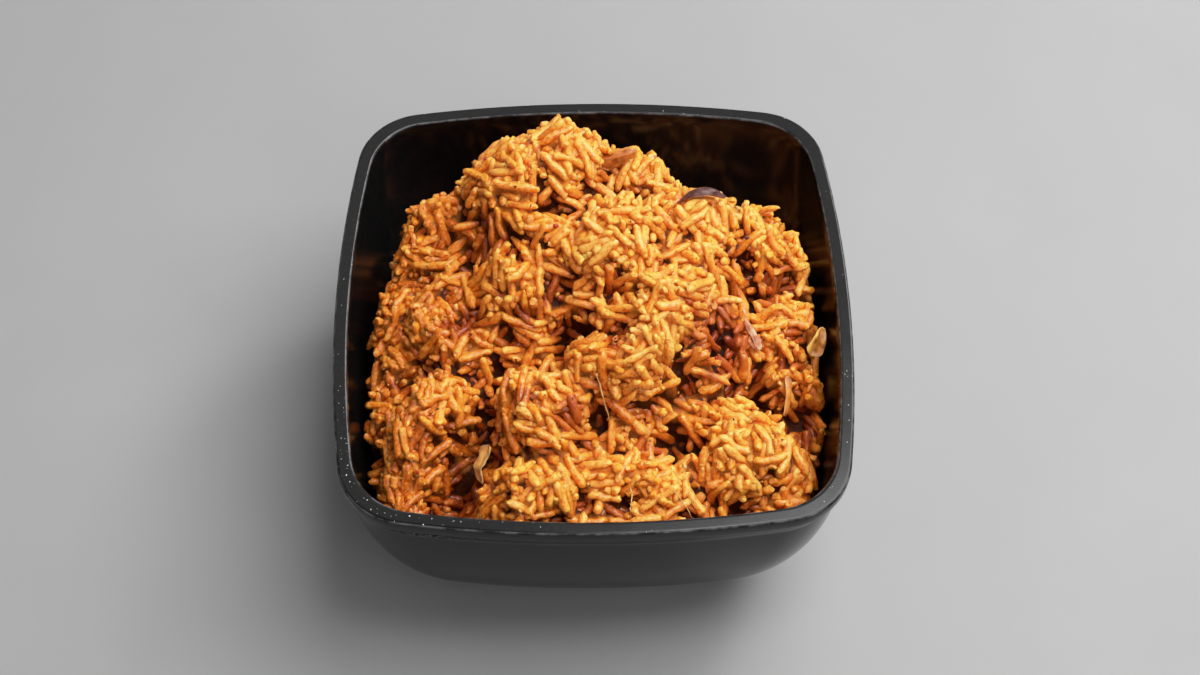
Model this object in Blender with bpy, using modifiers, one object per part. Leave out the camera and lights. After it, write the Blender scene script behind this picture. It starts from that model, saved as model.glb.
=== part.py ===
"""Jollof rice heaped in a square bowl.

One object for each piece: the bowl, the heap of rice with its uneven top, and the onion, pepper
and tomato pieces that lie in the rice.  Lengths are in metres and +Z is up.  The bowl stands on
z = 0, with the middle of its foot on the origin and its front towards -Y.
"""

import math

import bmesh
import bpy
from mathutils import Matrix, Vector, noise

# Outline of the bowl seen from above: four bulging sides joined by round corners.  The radii are
# given in half widths.
BOWL_WIDTH = 0.155
SIDE_RADIUS = 5.0
RIM_CORNER = 0.27
FOOT_CORNER = 0.55
OCTANT_STEPS = 7
CORNER_CROWDING = 1.7

# Section of the bowl.
BOWL_HEIGHT = 0.078
RIM_WIDTH = 0.0042
LIP_HEIGHT = 0.0042
LIP_OVERHANG = 0.0017
EDGE_ROUND = 0.0010
FLOOR = 0.0040
FOOT_HEIGHT = 0.0040
FOOT_HALF = 0.0420
FOOT_WIDTH = 0.0040
FOOT_RECESS = 0.0030
FOOT_CHAMFER = 0.0006
BODY_FULLNESS = 2.4
BODY_STEPS = 8

# The heap: its grid, its gap to the bowl, and the level at which it meets the wall.
HEAP_CELLS = 40
HEAP_GAP = 0.0012
HEAP_SKIRT_STEPS = 4
WALL_LEVEL = 0.051
RIGHT_RISE = 0.004
FRONT_RISE = 0.010
BACK_CORNER_DROP = 0.014
FRONT_CORNER_DROP = 0.008
PILLOW_RISE = 0.010
PILLOW_POWER = 5
EDGE_POWER = 22
BLEND = 0.0016

# Lumps that the rice was spooned into: middle x and y, top, half lengths along x and y, in mm.
LUMPS_MM = (
    (-9, 41, 106, 15, 17),
    (-25, 36, 104, 15, 18),
    (14, 46, 91, 12, 14),
    (-48, 28, 84, 18, 19),
    (-63, 6, 75, 13, 20),
    (-61, -18, 67, 13, 16),
    (5, 12, 104, 22, 22),
    (31, 21, 98, 18, 19),
    (56, 26, 85, 19, 18),
    (62, -8, 79, 14, 20),
    (27, -9, 101, 17, 17),
    (10, -20, 97, 17, 15),
    (-40, 0, 86, 16, 14),
    (-20, 6, 96, 17, 18),
    (-47, -37, 77, 17, 17),
    (-58, -55, 64, 12, 13),
    (-14, -34, 87, 16, 14),
    (-18, -57, 75, 18, 13),
    (14, -53, 70, 17, 14),
    (43, -42, 79, 17, 17),
    (65, -38, 66, 9, 18),
    (57, -57, 62, 14, 12),
)

# Hollows between them: middle x and y, depth, reach, in mm.
HOLLOWS_MM = (
    (-31, -35, 10, 5),
    (-38, -42, 16, 6),
    (-44, -51, 20, 7),
    (-43, 2, 10, 6),
    (-35, 12, 8, 5),
    (44, 20, 9, 5),
    (38, -17, 8, 6),
    (31, -44, 10, 6),
    (-4, -45, 8, 5),
    (61, -27, 8, 5),
)

# Relief of the small clumps on top: size of a clump and height of the relief.
CLUMP_SIZES = (0.0170, 0.0085)
CLUMP_HEIGHTS = (0.0045, 0.0032)

# Slices lying in the rice: both ends, the way the bent side faces, width, thickness, bend in
# degrees along the length, cup in degrees across the width.  Lengths are in mm.
PIECE_GAP_MM = 0.35
PIECE_CELLS = (8, 3)
PIECE_POINT = 0.85
PIECES = {
    "onion_slice": ((26, 26, 93), (40, 28, 93), (0.0, 0.2, 1.0), 5.5, 1.6, 120, 40),
    "onion_sliver": ((45, -8, 81), (50, -14, 73), (0.8, -0.3, 0.5), 3.4, 1.2, 30, 60),
    "onion_strip": ((58, -20, 68), (57, -30, 61), (0.8, -0.3, 0.5), 3.2, 1.2, 45, 40),
    "onion_curl": ((-31, -43, 68), (-33, -52, 61), (-0.8, -0.3, 0.5), 5.6, 1.3, 70, 40),
    "pepper_piece": ((70, -5, 76), (64, -17, 70), (0.3, -0.5, 0.8), 7.0, 1.8, 35, 45),
    "tomato_skin": ((2, 42, 93), (14, 45, 94), (0.1, -0.5, 0.8), 8.5, 1.3, 40, 30),
}

# Colour, roughness and metallic value of each material.
FINISHES = {
    "black_melamine": ((0.006, 0.006, 0.006), 0.08, 0.0),
    "jollof_rice": ((0.72, 0.28, 0.06), 0.40, 0.0),
    "red_onion": ((0.20, 0.06, 0.07), 0.25, 0.0),
    "pale_onion": ((0.62, 0.42, 0.28), 0.30, 0.0),
    "bell_pepper": ((0.75, 0.42, 0.10), 0.30, 0.0),
    "tomato_flesh": ((0.40, 0.08, 0.02), 0.30, 0.0),
}
PIECE_MATERIALS = {
    "onion_slice": "red_onion",
    "onion_sliver": "red_onion",
    "onion_strip": "pale_onion",
    "onion_curl": "pale_onion",
    "pepper_piece": "bell_pepper",
    "tomato_skin": "tomato_flesh",
}

MM = 0.001
HALF_WIDTH = BOWL_WIDTH / 2
BODY_TOP = BOWL_HEIGHT - LIP_HEIGHT - EDGE_ROUND
BODY_HALF = HALF_WIDTH - LIP_OVERHANG
INNER_HALF = HALF_WIDTH - RIM_WIDTH
INNER_TOP = BOWL_HEIGHT - EDGE_ROUND
INNER_FLOOR = FOOT_RECESS + FLOOR


def clear_scene():
    for old in list(bpy.data.objects):
        bpy.data.objects.remove(old, do_unlink=True)


def new_collection(name):
    collection = bpy.data.collections.new(name)
    bpy.context.scene.collection.children.link(collection)
    return collection


def material(name):
    colour, roughness, metallic = FINISHES[name]
    made = bpy.data.materials.get(name) or bpy.data.materials.new(name)
    made.use_nodes = True
    shader = made.node_tree.nodes["Principled BSDF"]
    shader.inputs["Base Color"].default_value = (*colour, 1.0)
    shader.inputs["Roughness"].default_value = roughness
    shader.inputs["Metallic"].default_value = metallic
    return made


def add_object(name, mesh, collection, finish=None):
    made = bpy.data.objects.new(name, mesh)
    collection.objects.link(made)
    if finish:
        mesh.materials.append(material(finish))
    return made


def outline_radius(half, corner, angle):
    """Distance from the middle to the outline in a direction, for a square of this half width
    whose corner radius is given in half widths."""
    turned = angle % (math.pi / 2)
    octant = min(turned, math.pi / 2 - turned)
    spread = SIDE_RADIUS - 1
    inset = SIDE_RADIUS - corner
    middle = (math.sqrt(2 * inset * inset - spread * spread) - spread) / 2
    tangent = math.atan2(middle, middle + spread)
    join = math.atan2(SIDE_RADIUS * math.sin(tangent), SIDE_RADIUS * math.cos(tangent) - spread)
    if octant < join:
        centre, radius = Vector((-spread, 0)), SIDE_RADIUS
    else:
        centre, radius = Vector((middle, middle)), corner
    along = Vector((math.cos(octant), math.sin(octant))).dot(centre)
    return half * (along + math.sqrt(along * along - centre.length_squared + radius * radius))


def corner_at(z):
    """Corner radius in half widths at a height: rounder at the foot than at the rim."""
    share = min(max(z / BOWL_HEIGHT, 0.0), 1.0)
    return FOOT_CORNER + (RIM_CORNER - FOOT_CORNER) * math.sqrt(share)


def section_half(z, top_half, top, floor):
    """Half width of a wall's curve at a height.  It is steep at the top and level at the floor."""
    share = min(max((top - z) / (top - floor), 0.0), 1.0)
    left = max(1 - share**BODY_FULLNESS, 0.0)
    return FOOT_HALF + (top_half - FOOT_HALF) * left ** (1 / BODY_FULLNESS)


def section_curve(top_half, top, floor, steps):
    """The same curve as even steps (half width, height) from its top to its floor."""
    power = 2 / BODY_FULLNESS
    curve = []
    for step in range(steps + 1):
        turn = step / steps * math.pi / 2
        half = FOOT_HALF + (top_half - FOOT_HALF) * max(math.cos(turn), 0.0) ** power
        curve.append((half, top - (top - floor) * math.sin(turn) ** power))
    return curve


def bowl_section():
    """The bowl's section from the recess under its foot, up the outside, over the rim and down
    to the inner floor, as (half width, height)."""
    foot_inner = FOOT_HALF - FOOT_WIDTH
    foot = [
        (foot_inner, FOOT_RECESS),
        (foot_inner, FOOT_CHAMFER),
        (foot_inner + FOOT_CHAMFER, 0.0),
        (FOOT_HALF - FOOT_CHAMFER, 0.0),
        (FOOT_HALF, FOOT_CHAMFER),
    ]
    outside = section_curve(BODY_HALF, BODY_TOP, FOOT_HEIGHT, BODY_STEPS)[::-1]
    bevel = EDGE_ROUND * (1 - math.sqrt(0.5))
    rim = [
        (HALF_WIDTH - bevel, BODY_TOP + bevel),
        (HALF_WIDTH, BODY_TOP + EDGE_ROUND),
        (HALF_WIDTH, BOWL_HEIGHT - EDGE_ROUND),
        (HALF_WIDTH - bevel, BOWL_HEIGHT - bevel),
        (HALF_WIDTH - EDGE_ROUND, BOWL_HEIGHT),
        (INNER_HALF + EDGE_ROUND, BOWL_HEIGHT),
        (INNER_HALF + bevel, BOWL_HEIGHT - bevel),
    ]
    inside = section_curve(INNER_HALF, INNER_TOP, INNER_FLOOR, BODY_STEPS)
    return foot + outside + rim + inside


def octant_angles():
    """Directions round the outline, closest together at its corners."""
    eighth = math.pi / 4
    rising = [
        eighth - eighth * (1 - step / OCTANT_STEPS) ** CORNER_CROWDING
        for step in range(OCTANT_STEPS)
    ]
    falling = [2 * eighth - angle for angle in [eighth, *rising[:0:-1]]]
    return [quarter * 2 * eighth + angle for quarter in range(4) for angle in rising + falling]


def bridge(mesh, lower, upper):
    count = len(lower)
    for index in range(count):
        after = (index + 1) % count
        mesh.faces.new((lower[index], lower[after], upper[after], upper[index]))


def make_bowl(collection):
    """A loft through the outline at each step of the section, closed by a face at both ends."""
    built = bmesh.new()
    rings = []
    for half, z in bowl_section():
        ring = []
        for angle in octant_angles():
            radius = outline_radius(half, corner_at(z), angle)
            ring.append(built.verts.new((radius * math.cos(angle), radius * math.sin(angle), z)))
        rings.append(ring)
    for lower, upper in zip(rings, rings[1:]):
        bridge(built, lower, upper)
    built.faces.new(rings[0][::-1])
    built.faces.new(rings[-1])
    bmesh.ops.recalc_face_normals(built, faces=built.faces)
    mesh = bpy.data.meshes.new("bowl")
    built.to_mesh(mesh)
    built.free()
    mesh.shade_smooth()
    mesh.set_sharp_from_angle(angle=math.radians(35))
    return add_object("bowl", mesh, collection, "black_melamine")


def wall_level(angle):
    """Height at which the rice meets the wall: low in the back corners, high in front."""
    across = math.cos(angle)
    back = math.sin(angle)
    corner = (2 * across * back) ** 2
    drop = BACK_CORNER_DROP if back > 0 else FRONT_CORNER_DROP
    return WALL_LEVEL + RIGHT_RISE * across - FRONT_RISE * back - drop * corner


def smooth_highest(levels):
    """The highest of several levels, with the valleys between them rounded."""
    highest = max(levels)
    return highest + BLEND * math.log(sum(math.exp((level - highest) / BLEND) for level in levels))


def lump_level(x, y, lump):
    """Height of one lump over a point: an ellipsoid's cap that falls away ever faster."""
    middle_x, middle_y, top, reach_x, reach_y = (value * MM for value in lump)
    distance = ((x - middle_x) / reach_x) ** 2 + ((y - middle_y) / reach_y) ** 2
    height = (reach_x + reach_y) / 2
    cap = math.sqrt(1 - distance) if distance < 1 else 1 - distance
    return top - height * (1 - cap)


def relief(x, y):
    """Small clumps of grains over the whole top."""
    total = 0.0
    for size, height in zip(CLUMP_SIZES, CLUMP_HEIGHTS):
        total += height * noise.noise(Vector((x / size, y / size, height / MM)))
    return total


def heap_level(x, y, edge, level):
    """Height of the rice at a point, from its share of the way to the wall and the level there."""
    pillow = level + PILLOW_RISE * (1 - edge**PILLOW_POWER)
    top = smooth_highest([pillow] + [lump_level(x, y, lump) for lump in LUMPS_MM])
    for hollow in HOLLOWS_MM:
        middle_x, middle_y, depth, reach = (value * MM for value in hollow)
        distance = ((x - middle_x) ** 2 + (y - middle_y) ** 2) / reach**2
        top -= depth * math.exp(-distance)
    free = 1 - edge**EDGE_POWER
    return level + (top + relief(x, y) - level) * free


def heap_radius(angle, z):
    half = section_half(z, INNER_HALF - HEAP_GAP, INNER_TOP, INNER_FLOOR + HEAP_GAP)
    return outline_radius(half, corner_at(z), angle)


def heap_point(u, v):
    """Point of the heap's top for a place in the square from -1 to 1."""
    edge = max(abs(u), abs(v))
    angle = math.atan2(v, u)
    level = wall_level(angle)
    radius = edge * heap_radius(angle, level)
    x, y = radius * math.cos(angle), radius * math.sin(angle)
    return Vector((x, y, heap_level(x, y, edge, level)))


def skirt_point(angle, share):
    """Point of the heap's side, on its way down from the wall level to the bowl's floor."""
    level = wall_level(angle)
    floor = INNER_FLOOR + HEAP_GAP
    z = floor + (level - floor) * math.cos(share * math.pi / 2) ** 1.5
    radius = heap_radius(angle, z)
    return Vector((radius * math.cos(angle), radius * math.sin(angle), z))


def border_cells():
    """Grid places round the border of the heap's top, counter-clockwise."""
    last = HEAP_CELLS
    front = [(column, 0) for column in range(last)]
    right = [(last, row) for row in range(last)]
    back = [(last - column, last) for column in range(last)]
    left = [(0, last - row) for row in range(last)]
    return front + right + back + left


def make_heap(collection):
    """The rice from its uneven top down to the bowl's floor."""
    built = bmesh.new()
    grid = {}
    for row in range(HEAP_CELLS + 1):
        for column in range(HEAP_CELLS + 1):
            u = 2 * column / HEAP_CELLS - 1
            v = 2 * row / HEAP_CELLS - 1
            grid[column, row] = built.verts.new(heap_point(u, v))
    for row in range(HEAP_CELLS):
        for column in range(HEAP_CELLS):
            corners = ((0, 0), (1, 0), (1, 1), (0, 1))
            built.faces.new([grid[column + right, row + back] for right, back in corners])
    ring = [grid[cell] for cell in border_cells()]
    angles = [math.atan2(vert.co.y, vert.co.x) for vert in ring]
    for step in range(1, HEAP_SKIRT_STEPS + 1):
        share = step / HEAP_SKIRT_STEPS
        lower = [built.verts.new(skirt_point(angle, share)) for angle in angles]
        bridge(built, lower, ring)
        ring = lower
    built.faces.new(ring[::-1])
    bmesh.ops.recalc_face_normals(built, faces=built.faces)
    mesh = bpy.data.meshes.new("rice_heap")
    built.to_mesh(mesh)
    built.free()
    mesh.shade_smooth()
    return add_object("rice_heap", mesh, collection, "jollof_rice")


def slice_mesh(name, length, width, bend, cup, grow=0.0):
    """A pointed strip, bent along its length and cupped across its width, with its crown up."""
    built = bmesh.new()
    columns, rows = PIECE_CELLS
    bmesh.ops.create_grid(built, x_segments=columns, y_segments=rows, size=1.0)
    length_radius = length / math.radians(bend)
    width_radius = width / math.radians(cup)
    for vert in built.verts:
        taper = math.sqrt(1 - PIECE_POINT * vert.co.x**2)
        turn = vert.co.x * (length / 2 + grow) / length_radius
        lean = vert.co.y * (width / 2 * taper + grow) / width_radius
        radius = length_radius - width_radius * (1 - math.cos(lean))
        vert.co.x = radius * math.sin(turn)
        vert.co.y = width_radius * math.sin(lean)
        vert.co.z = radius * math.cos(turn) - length_radius
    bmesh.ops.recalc_face_normals(built, faces=built.faces)
    mesh = bpy.data.meshes.new(name)
    built.to_mesh(mesh)
    built.free()
    return mesh


def slice_place(start, end, facing, sagitta):
    """Matrix that lays a slice's ends on two points with its crown facing one way."""
    along = (end - start).normalized()
    across = facing.cross(along).normalized()
    up = along.cross(across)
    turn = Matrix((along, across, up)).transposed().to_4x4()
    return Matrix.Translation((start + end) / 2 + up * sagitta) @ turn


def thicken(piece, thickness):
    solid = piece.modifiers.new("Thickness", "SOLIDIFY")
    solid.thickness = thickness
    solid.offset = 0.0
    solid.use_even_offset = True


def add_piece(name, heap, collection, cutters):
    """One slice, and the slightly larger pocket that it fills in the rice."""
    start, end, facing, width, thickness, bend, cup = PIECES[name]
    start, end = Vector(start) * MM, Vector(end) * MM
    width, thickness, gap = width * MM, thickness * MM, PIECE_GAP_MM * MM
    half_bend = math.radians(bend) / 2
    radius = (end - start).length / 2 / math.sin(half_bend)
    length = 2 * half_bend * radius
    place = slice_place(start, end, Vector(facing), radius * (1 - math.cos(half_bend)))
    mesh = slice_mesh(name, length, width, bend, cup)
    piece = add_object(name, mesh, collection, PIECE_MATERIALS[name])
    piece.matrix_world = place
    thicken(piece, thickness)
    pocket_mesh = slice_mesh(name + "_pocket", length, width, bend, cup, gap)
    pocket = add_object(name + "_pocket", pocket_mesh, cutters)
    pocket.matrix_world = place
    pocket.display_type = "WIRE"
    pocket.hide_render = True
    thicken(pocket, thickness + 2 * gap)
    cut = heap.modifiers.new(name, "BOOLEAN")
    cut.operation = "DIFFERENCE"
    cut.object = pocket


def main():
    clear_scene()
    dish = new_collection("jollof_rice_bowl")
    cutters = new_collection("cutters")
    cutters.hide_render = True
    make_bowl(dish)
    heap = make_heap(dish)
    for name in PIECES:
        add_piece(name, heap, dish, cutters)


main()
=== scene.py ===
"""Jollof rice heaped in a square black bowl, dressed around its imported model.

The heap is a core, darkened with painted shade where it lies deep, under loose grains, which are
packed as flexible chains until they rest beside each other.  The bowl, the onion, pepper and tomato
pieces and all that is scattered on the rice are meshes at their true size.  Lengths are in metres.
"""

import math

import bmesh
import bpy
import numpy as np
from bpy.props import FloatProperty, FloatVectorProperty, IntProperty, PointerProperty
from mathutils import Matrix, Vector, noise
from mathutils.bvhtree import BVHTree


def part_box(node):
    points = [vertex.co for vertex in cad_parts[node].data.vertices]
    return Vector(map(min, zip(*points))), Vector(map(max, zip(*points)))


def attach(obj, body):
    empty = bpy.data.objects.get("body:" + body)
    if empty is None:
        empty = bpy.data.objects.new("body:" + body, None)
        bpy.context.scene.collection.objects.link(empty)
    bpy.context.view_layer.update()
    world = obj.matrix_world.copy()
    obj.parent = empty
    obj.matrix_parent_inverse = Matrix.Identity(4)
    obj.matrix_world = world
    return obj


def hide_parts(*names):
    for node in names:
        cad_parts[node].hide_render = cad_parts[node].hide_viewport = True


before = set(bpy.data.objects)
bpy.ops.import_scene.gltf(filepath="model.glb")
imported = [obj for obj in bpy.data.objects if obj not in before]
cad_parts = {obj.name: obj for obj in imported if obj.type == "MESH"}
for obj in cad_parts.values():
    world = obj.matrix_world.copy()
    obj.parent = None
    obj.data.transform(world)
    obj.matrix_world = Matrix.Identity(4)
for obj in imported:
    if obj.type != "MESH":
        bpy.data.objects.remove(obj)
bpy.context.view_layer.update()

bl_info = {
    "name": "Jollof rice in a bowl",
    "version": (1, 0, 0),
    "blender": (4, 5, 0),
    "location": "3D View > Sidebar > Jollof rice",
    "description": "Dresses the packed bowl of jollof rice with grains, a bowl and soft light",
    "category": "Object",
}

MM = 0.001

# Slot of each slice.
SLICES = {
    "onion_slice": "red_onion",
    "onion_sliver": "red_onion",
    "onion_strip": "pale_onion",
    "onion_curl": "pale_onion",
    "pepper_piece": "bell_pepper",
    "tomato_skin": "tomato_flesh",
}

# Outline of each slice: narrowing towards one end, pointedness, thickness, fold and wave, and for
# some how ragged its edge is and how much of its length it keeps.
SLICE_SHAPES = {
    "onion_slice": {"lean": 0.35, "ends": 1.7, "thick": 0.5, "fold": 0.6 * MM, "wave": 0.3 * MM},
    "onion_sliver": {"lean": 0.25, "ends": 5.0, "thick": 0.6, "fold": 0.7 * MM, "wave": 0.6 * MM},
    "onion_strip": {"lean": 0.1, "ends": 5.0, "thick": 0.6, "fold": 0.5 * MM, "wave": 0.6 * MM},
    "onion_curl": {
        "lean": 0.1, "ends": 6.0, "thick": 0.4, "fold": -1.2 * MM, "wave": 1.2 * MM, "ragged": 0.5,
    },
    "pepper_piece": {
        "lean": -0.45, "ends": 4.0, "thick": 0.5, "fold": -2.8 * MM, "wave": 0.8 * MM, "long": 0.62,
    },
    "tomato_skin": {
        "lean": -0.45, "ends": 8.0, "thick": 0.5, "fold": 2.0 * MM, "wave": 0.7 * MM, "ragged": 0.4,
    },
}
SLICE_STEPS = 33
SLICE_LONG = 0.96
SLICE_WIDE = 0.94
SLICE_RAGGED = 0.16
SLICE_WAVE = 3.5 * MM
THINNEST_SLICE = 0.08 * MM
PROBE = 20.0 * MM

# Dark and light tones, edge, roughness and number of veins of each slice.
SLICE_FINISHES = {
    "onion_slice": ((0.055, 0.020, 0.017), (0.17, 0.070, 0.055), (0.30, 0.13, 0.08), 0.2, 9.0),
    "onion_sliver": ((0.50, 0.18, 0.10), (0.85, 0.50, 0.34), (0.90, 0.60, 0.44), 0.12, 2.0),
    "onion_strip": ((0.45, 0.15, 0.025), (0.68, 0.26, 0.05), (0.72, 0.31, 0.07), 0.4, 3.0),
    "onion_curl": ((0.70, 0.29, 0.07), (0.92, 0.46, 0.14), (0.94, 0.54, 0.20), 0.35, 4.0),
    "pepper_piece": ((0.22, 0.075, 0.008), (0.48, 0.20, 0.030), (0.78, 0.45, 0.11), 0.35, 1.5),
    "tomato_skin": ((0.24, 0.055, 0.006), (0.56, 0.17, 0.020), (0.60, 0.22, 0.03), 0.4, 4.0),
}
# Share of each slice, from its highest point down, that no grain lies on.
SLICE_CLEAR = {
    "onion_slice": 1.0,
    "onion_sliver": 1.0,
    "onion_strip": 0.8,
    "onion_curl": 0.8,
    "pepper_piece": 0.35,
    "tomato_skin": 0.5,
}
# Balls that fill a slice, and balls before the faces that turn towards the front and up.
GUARD_SIZE = 0.5 * MM
SCREEN_SIZE = 0.8 * MM
SCREEN_LIFT = 1.6 * MM
FRONT = (0.05, -0.5, 0.85)
FACING = 0.35

# Outline of the bowl from above in half widths, and its wall, foot and inner floor.
SIDE_RADIUS = 5.0
RIM_CORNER = 0.27
FOOT_CORNER = 0.55
WALL_FULLNESS = 2.4
FOOT_HALF = 42.0 * MM
FOOT_WIDTH = 4.0 * MM
FOOT_HEIGHT = 4.0 * MM
FOOT_RECESS = 3.0 * MM
FOOT_SOFT = 0.6 * MM
INNER_FLOOR = 7.0 * MM
MIDDLE_RING = 0.4 * MM

# Height field of the rice's top, its finer relief and the calmer summit.
CELL = 1.0 * MM
BLUR_ROUNDS = 2
RELIEF = ((17.0 * MM, 1.6 * MM), (6.0 * MM, 2.2 * MM))
RELIEF_LAYER = 7.3
CREVICE_SIZE = 15.0 * MM
CREVICE_SHARE = 0.17
CREVICE_DEPTH = 1.8 * MM
SUMMIT_HEIGHT = 22.0 * MM
SUMMIT_CALM = 0.7
# Lumps are lowered and valleys filled towards the top's broad shape.
LUMP_CONTRAST = -0.42
LUMP_BLUR_ROUNDS = 60
LUMP_LOWERED = 1.8 * MM
VALLEY_FILLED = 5.0 * MM
# Pits where the upper grains are left out.
PIT_SIZE = 7.0 * MM
PIT_PLACE = 31.0
PIT_LEVEL = 0.24
PIT_DEPTH = 3.8 * MM
# Rice that clings between the grains, and the surface over the tops of all grains.
CRUMB_SIZE = 1.7 * MM
CRUMB_HEIGHT = 0.5 * MM
ENVELOPE_REACH = 2.0 * MM
ENVELOPE_BLUR = 2.5 * MM
BARE_DEPTH = 3.0 * MM
# Rounds that fit the core to the wall, the room that grains have above it, and the heights of the
# rings down its side.
CORE_ROUNDS = 12
CORE_ROOM = 1.0 * MM
CORE_SIDE = (0.3, 0.6, 0.85, 1.0)
# Depths at which the rice is darkened with painted shade, under the tops of the grains and under
# the plain top.
DEEP = 5.0 * MM
DEPTH_LIFT = 1.0 * MM
HOLLOW_START = 2.6 * MM
HOLLOW_REACH = 4.2 * MM
# Grains across a hollow are left out when they lie this high over its bottom.
BRIDGED_DEPTH = 2.5 * MM
BRIDGE_HEIGHT = 0.9 * MM

# Hollows between clumps, and rises with a depth below 0, as shares of the heap's width and
# depth, their reach and their depth.
HOLLOWS = (
    (0.27, 0.29, 4.5 * MM, 9.0 * MM),
    (0.24, 0.22, 6.0 * MM, 14.0 * MM),
    (0.21, 0.14, 8.0 * MM, 16.0 * MM),
    (0.20, 0.48, 5.5 * MM, 10.0 * MM),
    (0.17, 0.37, 6.5 * MM, -6.0 * MM),
    (0.26, 0.38, 6.5 * MM, -6.5 * MM),
    (0.35, 0.38, 6.5 * MM, -5.0 * MM),
    (0.38, 0.64, 6.0 * MM, -5.0 * MM),
    (0.27, 0.64, 5.0 * MM, -3.0 * MM),
    (0.43, 0.50, 5.0 * MM, 6.0 * MM),
    (0.48, 0.43, 4.0 * MM, 5.0 * MM),
    (0.54, 0.48, 3.5 * MM, 6.0 * MM),
    (0.31, 0.46, 4.0 * MM, 5.0 * MM),
    (0.54, 0.39, 4.0 * MM, 7.0 * MM),
    (0.50, 0.25, 4.5 * MM, 7.0 * MM),
    (0.68, 0.33, 3.5 * MM, 7.0 * MM),
    (0.75, 0.39, 8.5 * MM, 7.0 * MM),
    (0.81, 0.60, 4.5 * MM, 7.0 * MM),
    (0.72, 0.21, 3.0 * MM, 5.0 * MM),
    (0.57, 0.09, 3.5 * MM, 6.0 * MM),
    (0.93, 0.60, 6.0 * MM, 8.0 * MM),
    (0.94, 0.28, 7.0 * MM, 8.0 * MM),
    (0.97, 0.46, 5.0 * MM, 7.0 * MM),
    (0.09, 0.36, 5.0 * MM, 5.0 * MM),
)

# Patches of sauce as shares of the heap's width and depth, and their reach.
SAUCE_SPOTS = (
    (0.455, 0.235, 5.0 * MM),
    (0.750, 0.370, 7.5 * MM),
    (0.790, 0.420, 6.5 * MM),
    (0.620, 0.200, 3.5 * MM),
    (0.300, 0.620, 3.5 * MM),
    (0.880, 0.560, 4.0 * MM),
    (0.560, 0.900, 4.0 * MM),
)
SAUCE_RAGGED = 3.0 * MM
SAUCE_TINT = 0.85
SAUCE_COLOUR = (0.34, 0.045, 0.005)
# Rice made darker and redder low in the bowl, oilier in drifts and beside some slices, and darker
# at the left and right as painted shade.
DARKER_LOW = 0.9
OILY_DRIFTS = 0.5
DRIFT_SIZE = 17 * MM
# Painted shade: the rice's left and right sides are made darker and redder.
PAINTED_SHADE_LEFT = 1.3
PAINTED_SHADE_RIGHT = 0.7
RIGHT_START = 0.6
OILY_SLICES = ("onion_sliver", "pepper_piece", "tomato_skin", "onion_curl")
OILY_BESIDE = 0.55
OILY_REACH = 9 * MM
# How far its place's oiliness and painted shade decide a grain's kind, against chance.
SHADE_AND_OIL_RANK = 1.1

# Places of single bits, and of the two ends of fine fibres, as shares of the same kind.
FLECK_SPOTS = ((0.862, 0.385), (0.835, 0.330), (0.42, 0.62))
PALE_SPOTS = ((0.378, 0.285), (0.350, 0.243), (0.600, 0.430), (0.205, 0.520))
DARK_SPOTS = (
    (0.79, 0.66), (0.81, 0.64), (0.83, 0.65), (0.82, 0.62), (0.80, 0.60), (0.72, 0.30),
)
FIBRE_SPOTS = (
    ((0.572, 0.130), (0.570, 0.050)),
    ((0.658, 0.090), (0.700, 0.066)),
    ((0.500, 0.300), (0.530, 0.240)),
)
# Width of a fibre along it, how high it lies and how uneven it is.
FIBRE_TAPER = (0.5, 0.8, 1.0, 1.1, 1.0, 0.9, 0.8, 0.6, 0.3)
FIBRE_LIFT = 0.25 * MM
FIBRE_WOBBLE = 0.15 * MM
# How far above the rice the search for its surface starts.
DROP = 12.0 * MM
RAY_START = 10.0 * MM
UP = (0.0, 0.0, 1.0)

# Kinds of grains: their light and deep colours, and the share of each.
GRAIN_COLOURS = {
    "pale": ((0.95, 0.370, 0.066), (0.90, 0.315, 0.042)),
    "golden": ((0.90, 0.315, 0.036), (0.84, 0.255, 0.022)),
    "orange": ((0.82, 0.270, 0.022), (0.72, 0.190, 0.013)),
    "amber": ((0.68, 0.195, 0.013), (0.48, 0.108, 0.006)),
}
KIND_SHARES = (0.25, 0.26, 0.26, 0.23)

# Grains as chains of balls: spreads and limits of their lengths, widths and bends.
CHAIN = 7
LENGTH_LIMITS = (0.62, 1.3)
BROKEN_LENGTHS = (0.35, 0.7)
WIDTH_SPREAD = 0.07
WIDTH_LIMITS = (0.8, 1.2)
BEND_LIMITS = (0.02, 1.9)
SHARP_SHARE = 0.07
SHARP_BEND = 1.0
END_RADII = 1.7
WOBBLE = 0.22 * MM
# How neighbouring grains stream the same way.
STREAM_SIZE = 22 * MM
STREAM_PULL = 3.0
STREAM_LAYERS = ((0.0, 0.0, 0.0), (31.7, 5.2, 11.9), (-8.3, 47.1, 2.6))
ROLL_SPREAD = 0.3
# Where grains start under the top, and how far their middles may stand above it.
START_DEPTH = 1.2 * MM
WALL_MARGIN = 1.5 * MM
MIDDLE_RISES = (0.0, 0.8 * MM, 1.8 * MM)
RISE_ODDS = (0.6, 0.3, 0.1)
END_POWER = 1.5
# Settling: shares of a ball's radius at which balls touch, rounds, stiffness and largest steps.
SETTLE_ROUNDS = 90
TOUCH = 0.72
CORE_TOUCH = 0.8
PAIR_ROUNDS = 4
PAIR_REACH = 2.6
STIFFNESS = 0.55
LAST_STIFFNESS = 0.25
LAST_ROUNDS = 10
SINK_ROUNDS = 45
SINK_STEP = 0.03 * MM
LARGEST_STEP = 0.6 * MM
WALL_GAP = 0.15 * MM

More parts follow.
